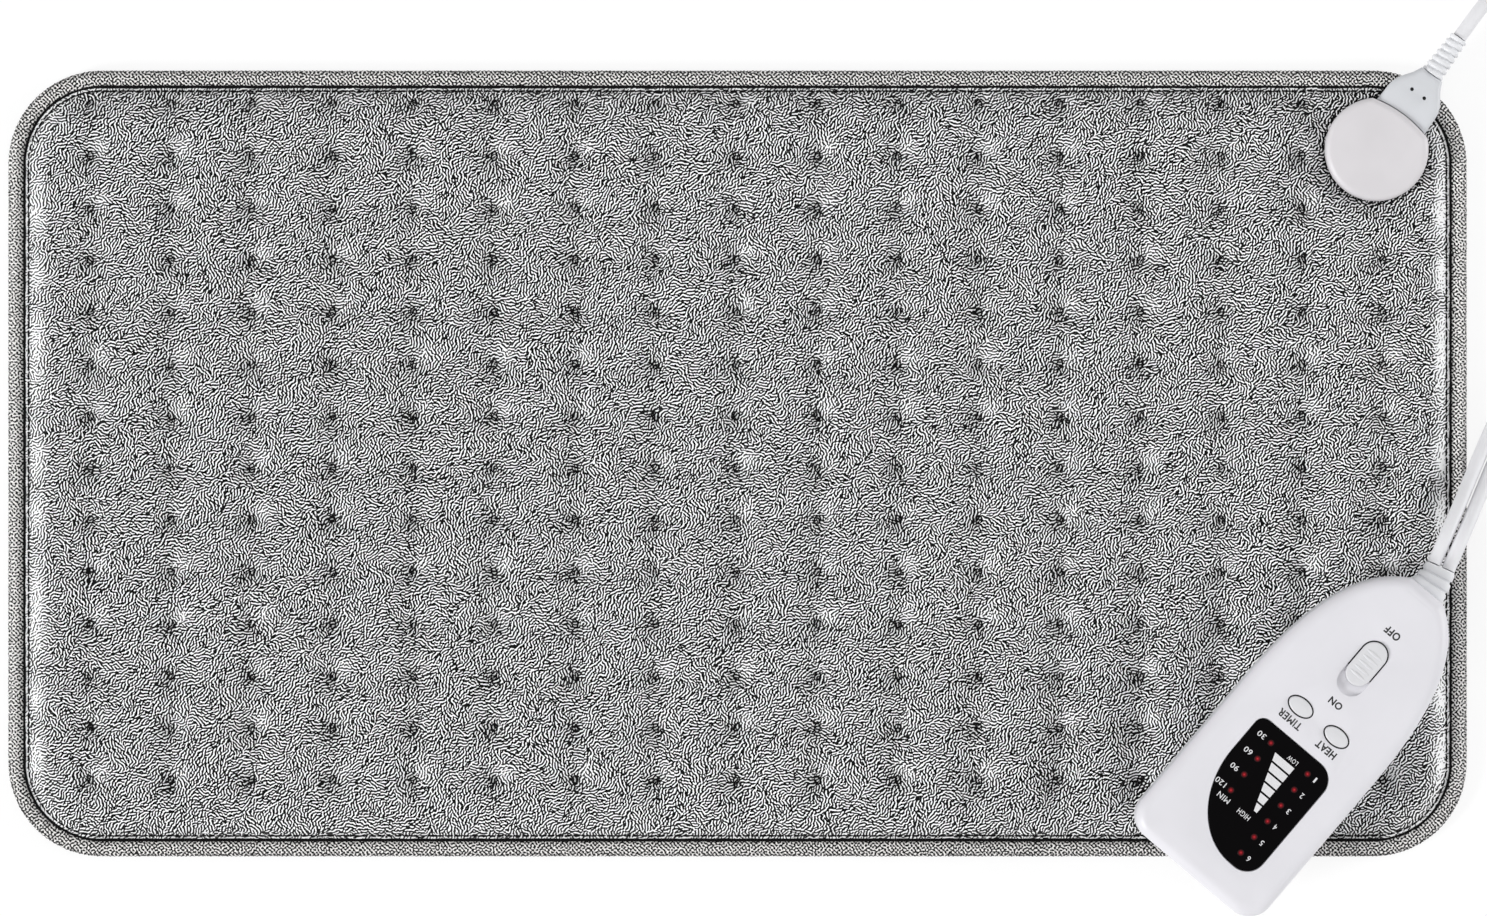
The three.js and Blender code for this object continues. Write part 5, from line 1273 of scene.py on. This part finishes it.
# Connector on the pad: a round cap with a flat front, and the plug that pulls out of it
socket = {"radius": 20.6, "low": 7.1, "high": 18.8, "round": 2.6, "bottomRound": 0.5, "dome": 0.25}
socket |= {"front": 49.0, "crownAt": 17.4}  # radius of the front face, and how far out its middle is
socket["mouth"] = (8.9, 8.8, 15.2, 6.0)  # half width, low, high, back
plugSize = {"middle": 12.0, "height": 9.6, "round": 2.2, "gap": 0.3, "edge": 0.15}
plugSize |= {"back": (12.2, 6), "shoulder": (11.5, 24), "end": (5, 37.2), "bare": 34.2}
plugSize["tongue"] = (8.6, 2.9, 8.0, 22)  # half width, half height, back and front
plugSize |= {"dots": (3.05, 27.6, 0.75), "bores": (2.2, 23.8)}
# Ribbed sleeve behind the plug: rings with grooves between them
sleeve = {"start": 37.3, "end": 55.5, "radiusStart": 4.7, "radiusEnd": 3.8, "ribs": 6, "sides": 40}
sleeve["groove"] = (1.3, 0.75, 0.3, 0.15)  # width, depth, lip and wall
sleeve["inPlug"] = (3.0, 2.4)  # how far it goes into the plug, and how much thinner it is there


def capOutline():
    radius, front = socket["radius"], socket["front"]
    centre = socket["crownAt"] - front
    cornerY = (radius**2 + centre**2 - front**2) / (2 * centre)
    cornerX = math.sqrt(radius**2 - cornerY**2)
    side = math.degrees(math.atan2(cornerY, cornerX))
    top = math.degrees(math.atan2(cornerY - centre, cornerX))
    points = arc(0, centre, front, front, top, 180 - top, 28)
    return clean(points + arc(0, 0, radius, radius, 180 - side, 360 + side, 120))


def socketPiece():
    s = socket
    half, low, high, back = s["mouth"]
    cap = slab(capOutline(), s["low"], s["high"], s["round"], s["bottomRound"], 8, s["dome"])
    mesh = cutAway(cap, [box(-half, half, back, 30, low, high)])
    piece = placed("socketCap", softEdges(mesh, plugSize["edge"], 60), "connector")
    dress(piece, root, "socket_plastic", ["socket_housing"])


def plugOutline():
    (half, back), shoulder, end = plugSize["back"], plugSize["shoulder"], plugSize["end"]
    flank = bezier(shoulder, (11, 30), (6, 33), end, 20)[1:-1]
    points = [(-half, back), (half, back), shoulder]
    points += [p for p in flank if p[1] < plugSize["bare"]] + [end]  # the rounding draws in the end
    return points + [(-x, y) for x, y in reversed(points[2:])]


def plugPieces():
    p = plugSize
    low, high = p["middle"] - p["height"] / 2, p["middle"] + p["height"] / 2
    front = rod(0, socket["crownAt"] - socket["front"], socket["front"] + p["gap"], low - 1, high + 1, 240)
    body = cutAway(slab(plugOutline(), low, high, p["round"], p["round"], 6), [front])
    half, rise, back, inner = p["tongue"]
    tongue = box(-half, half, back, inner, p["middle"] - rise, p["middle"] + rise)
    body = cutAway(body, [tongue], "UNION")
    across, along, radius = p["dots"]
    bore, deep = p["bores"]
    sides = {"Left": -across, "Right": across}
    tools = [rod(x, along, radius, high - 1, high + 1, 20) for x in sides.values()]
    for x in sides.values():
        tools.append(loopsMesh([ringAlongY(x, y, p["middle"], bore, 24) for y in (back - 1, deep)]))
    piece = placed("plugCover", softEdges(cutAway(body, tools), p["edge"], 50), "connector")
    dress(piece, "connector_plug", "socket_plastic", ["plug_upper_shell", "plug_lower_shell"], plugShade)
    for side, x in sides.items():
        pit = rod(x, along, radius - 0.02, high - 1.0, high - 0.55, 20)
        piece = placed("plugPit" + side, pit, "connector")
        dress(piece, "connector_plug", "black_plastic", material=pitBlack)


def sleevePiece():
    s = sleeve
    start, length = s["start"], s["end"] - s["start"]
    pitch = length / (s["ribs"] + 0.5)
    into, thinner = s["inPlug"]
    stations = [(start - into, thinner), (start, thinner), (start + 0.01, 0.3), (start + 0.3, 0)]
    stations += grooves([start + rib * pitch for rib in range(1, s["ribs"] + 1)], *s["groove"])
    loops = []
    for y, depth in stations + [(s["end"] - 0.3, 0), (s["end"], 0.35)]:
        size = s["radiusStart"] + (s["radiusEnd"] - s["radiusStart"]) * (y - start) / length - depth
        loops.append(ringAlongY(0, y, plugSize["middle"], size, s["sides"]))
    piece = placed("plugSleeve", loopsMesh(loops), "connector")
    dress(piece, "connector_plug", "white_rubber", ["plug_strain_relief"])


socketPiece()
plugPieces()
sleevePiece()
print("connector made")

# Controller: two shells with a rounded edge, cut for the window, the keys, the switch and the cords
shell = {"half": 33.3, "tail": 69.2, "tip": 78, "shoulder": 5, "corner": 10.5, "neck": 8}
shell |= {"handle": 40, "curve": (25.5, 68)}  # what bends the sides towards the neck
shell |= {"height": 26, "parting": 11.5, "topRound": 5, "bottomRound": 3, "wall": 2, "roof": 3}
shell |= {"seam": 0.3, "edge": 0.22, "mouth": (5.9, 3.7)}  # the mouth's half width and half height
screws = {"spots": [(-23.5, -57.5), (23.5, -57.5), (-17, 57), (17, 57)], "radius": 2.8, "deep": 3.5}
window = {"left": -18.7, "right": 19.9, "top": -2.1, "bottom": -55.3, "sweep": (9.5, -20)}
window["radii"] = (4, 8, 8)  # top left, top right, bottom right
window |= {"sink": 0.2, "thick": 1.4, "gap": 0.3, "ledge": 2}
keys = {"timer": -9.0, "heat": 9.6, "y": 10.15, "halfX": 5.4, "halfY": 3.2, "gap": 0.6, "low": 21.7}
# painted shade: a dark ring in the gap round each key, how far below the top it lies, and its gap to the key
keys |= {"proud": 1.0, "round": 0.7, "crown": 0.25, "shadeRing": (0.7, 0.25), "shadeRingGap": 0.05}
switch = {"start": 25, "length": 25.5, "width": 11.8, "depth": 1.6, "knob": 19.8, "gap": 0.6, "proud": 1.2}
switch |= {"round": 0.6, "crown": 0.15, "lift": 0.3, "stem": (2, 2.3, 20.0), "slot": (2.4, 32.6, 42.8)}
# painted shade: a dark strip in the gap round the knob, its height, its gap to the knob and where it starts
switch |= {"shadeRing": 0.8, "shadeRingGap": 0.06, "shadeRingStart": 5}
knobRibs = {"Count": 5, "Pitch": 2.6, "Width": 8.4, "Thickness": 1.5}
ribStart = (5.6, 0.4)  # the first rib before the knob's middle, and how deep the ribs sit


def shellOutline():
    s = shell
    handle = (s["half"], s["shoulder"] + s["handle"])
    right = bezier((s["half"], s["shoulder"]), handle, s["curve"], (s["neck"], s["tip"]), 44)
    left = [(-x, y) for x, y in reversed(right)]
    low = s["corner"] - s["tail"]
    corners = arc(s["corner"] - s["half"], low, s["corner"], s["corner"], 180, 270, 14)
    corners += arc(s["half"] - s["corner"], low, s["corner"], s["corner"], 270, 360, 14)
    return clean(right + left + corners)


def windowOutline():
    w = window
    topLeft, topRight, bottom = w["radii"]
    points = arc(w["right"] - topRight, w["top"] - topRight, topRight, topRight, 0, 90, 12)
    points += arc(w["left"] + topLeft, w["top"] - topLeft, topLeft, topLeft, 90, 180, 8)
    x, y = w["sweep"]
    points += arc(x, y, x - w["left"], y - w["bottom"], 180, 270, 28)
    return clean(points + arc(w["right"] - bottom, w["bottom"] + bottom, bottom, bottom, 270, 360, 12))


def keyOutline(name, wider=0.0):
    return oval(keys[name], keys["y"], keys["halfX"] + wider, keys["halfY"] + wider)


def obround(y0, y1, width, steps=14):
    return roundedBox(-width / 2, width / 2, y0, y1, width / 2 - 1e-3, steps)


def shellPieces():
    s, top = shell, shell["height"]
    over, under = top + 1, top - s["roof"] - 1  # the cutters reach past the roof on both sides
    outline, pane = shellOutline(), windowOutline()
    inner = inset(outline, s["wall"])
    low, high = s["parting"] + s["seam"] / 2, s["parting"] - s["seam"] / 2
    tools = [slab(inner, low - 1, top - s["roof"])]
    ledge = top - window["sink"] - window["thick"] - window["gap"]
    tools.append(slab(inset(pane, -window["gap"]), ledge, over))
    tools.append(slab(inset(pane, window["ledge"]), under, over))
    tools += [slab(keyOutline(name, keys["gap"]), under, over) for name in ("timer", "heat")]
    recess = obround(switch["start"], switch["start"] + switch["length"], switch["width"])
    tools.append(slab(recess, top - switch["depth"], over))
    half, back, front = switch["slot"]
    tools.append(box(-half, half, back, front, under, top - switch["depth"] + 0.5))
    half, rise = s["mouth"]
    neck = box(-half, half, s["tip"] - 4, s["tip"] + 1, s["parting"] - rise, s["parting"] + rise)
    tools.append(neck.copy())
    cover = cutAway(slab(outline, low, top, s["topRound"], steps=9), tools)
    piece = placed("controllerCover", softEdges(cover, s["edge"], 50), "controller")
    dress(piece, root, "shell_plastic", ["controller_top_shell"], sharp=40)
    tools = [slab(inner, s["wall"], high + 1), neck]
    tools += [rod(x, y, screws["radius"], -1, screws["deep"]) for x, y in screws["spots"]]
    base = cutAway(slab(outline, 0, high, 0, s["bottomRound"]), tools)
    piece = placed("controllerBase", softEdges(base, s["edge"], 50), "controller")
    dress(piece, root, "shell_plastic", ["controller_bottom_shell"], sharp=40)


def windowPiece():
    top = shell["height"] - window["sink"]
    glass = slab(windowOutline(), top - window["thick"], top, 0.15, steps=2)
    dress(placed("displayPane", glass, "controller"), root, "window_acrylic", ["display_window"])


def ringMesh(inner, outer, low, high, closed=True):  # a flat strip between two outlines, or part of a ring
    loops = [[(*p, low), (*q, low), (*q, high), (*p, high)] for p, q in zip(inner, outer)]
    if closed:
        loops.append(loops[0])
    return outward(loopsMesh(loops, capped=not closed), merge=1e-5)


def keyPieces():
    k, top = keys, shell["height"]
    for name in ("timer", "heat"):
        high = top + k["proud"] - k["crown"]
        cap = slab(keyOutline(name), k["low"], high, k["round"], steps=6, crown=k["crown"])
        piece = placed(name + "Key", cap, "controller")
        dress(piece, name + "_key", "button_plastic", [name + "_button"])
        # painted shade: a dark ring just below the top in the gap round each key
        inner, outer = keyOutline(name, k["shadeRingGap"]), keyOutline(name, k["gap"])
        shadeRing = ringMesh(inner, outer, *[top - down for down in k["shadeRing"]])
        dress(placed(name + "Seal", shadeRing, "controller"), root, "black_plastic", material=pitBlack)


def ribTree():
    inputs = [("Count", "Int"), ("Pitch", "Float"), ("Width", "Float"), ("Thickness", "Float")]
    tree, source = newTree("knobRibs", inputs + [("Knob", "Material")])
    step = combine(tree, 0.0, source["Pitch"], 0.0)
    line = result(tree, "GeometryNodeMeshLine", {"Count": source["Count"], "Offset": step})
    size = combine(tree, source["Width"], source["Thickness"], source["Thickness"])
    ball = result(tree, "GeometryNodeMeshIcoSphere", {"Radius": 0.5, "Subdivisions": 3}, "Mesh")
    return endTree(tree, copies(tree, Points=line, Instance=ball, Scale=size), source["Knob"])


def onePoint(name):
    return newObject(name, newMesh([(0, 0, 0)], []))


def switchPieces():
    w, top = switch, shell["height"]
    end = w["start"] + w["length"] - w["gap"]
    start = end - w["knob"]
    middle, high, floor = (start + end) / 2, top + w["proud"], top - w["depth"] + w["lift"]
    outline = obround(start, end, w["width"] - 2 * w["gap"])
    knob = slab(outline, floor, high - w["crown"], w["round"], steps=5, crown=w["crown"])
    halfX, halfY, low = w["stem"]
    stem = box(-halfX, halfX, middle - halfY, middle + halfY, low, top)
    knob = placed("powerKnob", cutAway(knob, [stem], "UNION"), "controller")
    dress(knob, "power_switch", "button_plastic", ["power_knob"])
    ribs = bake("knobRibs", onePoint("ribs"), ribTree(), knobRibs | {"Knob": finishes["button_plastic"]})
    before, sunk = ribStart
    ribs.data.transform(stands["controller"] @ Matrix.Translation((0, middle - before, high - sunk)))
    dress(ribs, "power_switch", "button_plastic", sharp=0)
    # painted shade: a dark strip in the gap along the knob's sides and round one end
    outer = inset(outline, w["shadeRingGap"] - w["gap"])
    kept = [(p, tuple(q)) for p, q in zip(outline, outer) if p[1] > start + w["shadeRingStart"]]
    first = next(i for i in range(len(kept)) if kept[i - 1][0][0] < 0 < kept[i][0][0])
    kept = kept[first:] + kept[:first]  # the strip runs from the right side round the end to the left
    shadeRing = ringMesh([p for p, _ in kept], [q for _, q in kept], floor, floor + w["shadeRing"], closed=False)
    dress(placed("knobSeal", shadeRing, "controller"), "power_switch", "black_plastic", material=pitBlack)


shellPieces()
windowPiece()
keyPieces()
switchPieces()
print("controller shells and keys made")

# Print on the shell and the window, which reads with the display end up: word, x, y, width and height
lettering = {"size": 4, "thick": 0.02, "spacing": 1.08, "onShell": 0.13, "onWindow": 0.03, "shift": 0.18}
shellWords = [("OFF", 0, 56.0, 7.0, 3.3), ("ON", 0.8, 20.1, 6.0, 3.0), ("HEAT", 9.7, 3.6, 9.4, 3.2)]
timerWord = ("TIMER", -9, 3.6, 10.8, 3.0)
windowWords = [("30", -13.6, -8.4, 3.6, 2.3), ("60", -13.6, -16.7, 3.6, 2.3), ("90", -13.6, -25.0, 3.6, 2.3)]
windowWords += [("120", -13.9, -33.2, 4.8, 2.3), ("MIN", -9.0, -37.2, 5.6, 2.3)]
windowWords += [("LOW", 2.4, -8.2, 4.8, 1.9), ("HIGH", 1.4, -37.2, 5.8, 2.2)]
windowWords += [(str(i + 1), 14.3, -8.4 - 8.2 * i, 1.3 if i else 0.8, 2.3) for i in range(6)]
bars = {"count": 6, "top": -10.2, "bottom": -34.2, "share": 0.8, "right": 5.0, "left": -5.0, "narrowing": 8.8}


def label(text, x, y, width, height, z, weight=0.0):
    data = bpy.data.curves.new("label", "FONT")
    data.body = text
    data.size = lettering["size"]
    data.extrude = lettering["thick"]
    data.offset = weight
    data.space_character = lettering["spacing"]
    data.resolution_u = 4
    mesh = evaluated(newObject("label", data))
    co = coordinates(mesh)
    low, high = co.min(axis=0), co.max(axis=0)
    co[:, :2] -= (low + high)[:2] / 2
    co[:, 0] *= -width / (high - low)[0]
    co[:, 1] *= -height / (high - low)[1]
    co += (x, y, z)
    mesh.vertices.foreach_set("co", co.ravel())
    return mesh


def joined(name, meshes, group):
    shaped = bmesh.new()
    for mesh in meshes:
        shaped.from_mesh(mesh)
    made = bpy.data.meshes.new(name)
    shaped.to_mesh(made)
    shaped.free()
    return placed(name, made, group)


def scaleBar(index, z):
    length = bars["bottom"] - bars["top"]
    near = bars["top"] + length * index / bars["count"]
    far = near + length / bars["count"] * bars["share"]
    left = [bars["left"] + bars["narrowing"] * (y - bars["top"]) / length for y in (near, far)]
    corners = [(bars["right"], near), (left[0], near), (left[1], far), (bars["right"], far)]
    levels = (z - lettering["thick"], z + lettering["thick"])
    return loopsMesh([[(*corner, level) for corner in corners] for level in levels])


def printPieces():
    z = shell["height"] + lettering["thick"]
    meshes = [label(*word, z, lettering["onShell"]) for word in shellWords]
    text, x, y, width, height = timerWord
    for step in range(4):  # the M closes up when it is thickened, so this word is laid four times
        shiftX, shiftY = [(side - 0.5) * lettering["shift"] for side in (step % 2, step // 2)]
        meshes.append(label(text, x + shiftX, y + shiftY, width, height, z + 0.004 * step))
    dress(joined("shellPrint", meshes, "controller"), root, "black_plastic", material=greyInk, sharp=0)
    z = shell["height"] - window["sink"] + lettering["thick"]
    meshes = [label(*word, z, lettering["onWindow"]) for word in windowWords]
    meshes += [scaleBar(index, z) for index in range(bars["count"])]
    dress(joined("windowPrint", meshes, "controller"), root, "window_acrylic", material=whiteInk, sharp=0)


# Lamps: a row of small discs that fade towards their edge
lamps = {"timer": (-8.7, 4), "heat": (10.4, 6), "first": -8.5, "pitch": 8.2, "radius": 1.35}
lampShape = {"sides": 20, "rings": 4, "half": 0.05, "slope": 0.04, "fade": 0.8}


def lampDisc():
    s, sides, rings = lampShape, lampShape["sides"], lampShape["rings"]
    points, faces, glows = [(0, 0, s["half"])], [], [1.0]
    for share in [(ring + 1) / rings for ring in range(rings)]:
        points += [(*p, s["half"] - s["slope"] * share) for p in oval(0, 0, share, share, sides)]
        glows += [(1 - share) ** s["fade"]] * sides
    points += [(*p, -s["half"]) for p in oval(0, 0, 1, 1, sides)]
    glows += [0.0] * sides
    for j in range(sides):
        k = (j + 1) % sides
        faces.append((0, 1 + j, 1 + k))
        for ring in range(rings):
            a, b = 1 + ring * sides, 1 + (ring + 1) * sides
            faces.append((a + j, b + j, b + k, a + k))
    faces.append(tuple(range(len(points) - 1, len(points) - sides - 1, -1)))
    mesh = newMesh(points, faces)
    addAttribute(mesh, "glow", glows)
    return newObject("lamp", mesh)


def lampTree():
    inputs = [("Lamp", "Object"), ("Count", "Int"), ("Pitch", "Float"), ("Radius", "Float")]
    tree, source = newTree("lampRow", inputs + [("Resin", "Material")])
    step = combine(tree, 0.0, maths(tree, "MULTIPLY", source["Pitch"], -1.0), 0.0)
    line = result(tree, "GeometryNodeMeshLine", {"Count": source["Count"], "Offset": step})
    disc = result(tree, "GeometryNodeObjectInfo", {"Object": source["Lamp"]}, "Geometry")
    size = combine(tree, source["Radius"], source["Radius"], 1.0)
    return endTree(tree, copies(tree, Points=line, Instance=disc, Scale=size), source["Resin"])


def lampPieces():
    disc, tree = lampDisc(), lampTree()
    for name in ("timer", "heat"):
        x, count = lamps[name]
        values = {"Lamp": disc, "Count": count, "Resin": glow}
        values |= {"Pitch": lamps["pitch"], "Radius": lamps["radius"]}
        row = bake(name + "Lamps", onePoint("row"), tree, values)
        start = (x, lamps["first"], shell["height"] - window["sink"])
        row.data.transform(stands["controller"] @ Matrix.Translation(start))
        dress(row, root, "lamp_red", material=glow, sharp=0)
    bpy.data.objects.remove(disc)


def collarPiece():
    c, z = collar, collar["parting"]
    start, bend, end = Vector((0, c["start"])), Vector((0, c["curve"])), Vector((c["lean"], c["end"]))
    stations = [(0, 0.25), (0.04, 0), *grooves(c["grooves"], *c["groove"]), (0.95, 0), (1, 0.4)]
    neck = boxyLoop(0, *c["neck"], c["power"], c["sides"])
    loops = [[(x, y, z + up) for x, _, up in neck] for y in (c["back"], c["start"])]
    for t, depth in stations:
        middle = start * (1 - t) ** 2 + bend * 2 * t * (1 - t) + end * t * t
        ahead = ((bend - start) * (1 - t) + (end - bend) * t).normalized()
        half, rise = [first + (last - first) * t - depth for first, last in zip(c["first"], c["last"])]
        loop = boxyLoop(0, half, rise, c["power"], c["sides"])
        loops.append([(middle.x + x * ahead.y, middle.y - x * ahead.x, z + up) for x, _, up in loop])
    piece = placed("cordCollar", loopsMesh([loop[::-1] for loop in loops]), "controller")
    dress(piece, root, "white_rubber", ["controller_strain_relief"])


printPieces()
lampPieces()
collarPiece()
print("print, lamps and collar made")

# Floor, light and sky: a plain pale studio
studio = {"sky": 0.5, "reach": 40, "floor": -0.0004, "floorTone": (0.86, 0.86, 0.86, 1)}
studio["floorWhite"] = (1.06, 0.8)  # strength and share of the floor's own white where it is seen
# Where each light comes from, its strength and its angle
lights = {
    "key": ((-0.85, -0.4, 0.5), 2.0, 15),
    "side": ((0.95, 0.1, 0.26), 1.3, 30),
    "top": ((0.1, 0.2, 1.0), 0.35, 60),
}


def seenDirectly(tree):  # 1 for what the camera, a mirror or a window sees
    path = addNode(tree, "ShaderNodeLightPath").outputs
    total = maths(tree, "ADD", path["Is Camera Ray"], path["Is Glossy Ray"])
    return maths(tree, "ADD", total, path["Is Transmission Ray"], use_clamp=True)


def makeFloor():
    reach = studio["reach"]
    corners = [(-reach, -reach), (reach, -reach), (reach, reach), (-reach, reach)]
    floor = newObject("studioFloor", newMesh([(*c, studio["floor"]) for c in corners], [(0, 1, 2, 3)]))
    sockets = {"Base_Color": studio["floorTone"], "Specular_IOR_Level": 0.0}
    material, tree, shader, _ = newMaterial("studioFloor", 0.9, **sockets)
    strength, share = studio["floorWhite"]
    bright = result(tree, "ShaderNodeEmission", {"Strength": strength})
    share = maths(tree, "MULTIPLY", seenDirectly(tree), share)
    mixed = result(tree, "ShaderNodeMixShader", {0: share, 1: shader.outputs[0], 2: bright})
    tree.links.new(mixed, tree.nodes["Material Output"].inputs["Surface"])
    floor.data.materials.append(material)


def makeSky():
    world = bpy.data.worlds.new("studioSky")
    scene.world = world
    world.use_nodes = True
    tree = world.node_tree
    background = tree.nodes["Background"]
    background.inputs["Color"].default_value = white
    tree.links.new(spread(tree, seenDirectly(tree), studio["sky"], 1.0), background.inputs["Strength"])


def makeLights():
    for name, (direction, strength, angle) in lights.items():
        data = bpy.data.lights.new(name + "Light", "SUN")
        data.energy = strength
        data.angle = math.radians(angle)
        light = newObject(name + "Light", data)
        light.rotation_euler = Vector(direction).to_track_quat("Z", "Y").to_euler()


makeFloor()
makeSky()
makeLights()
print("studio made")
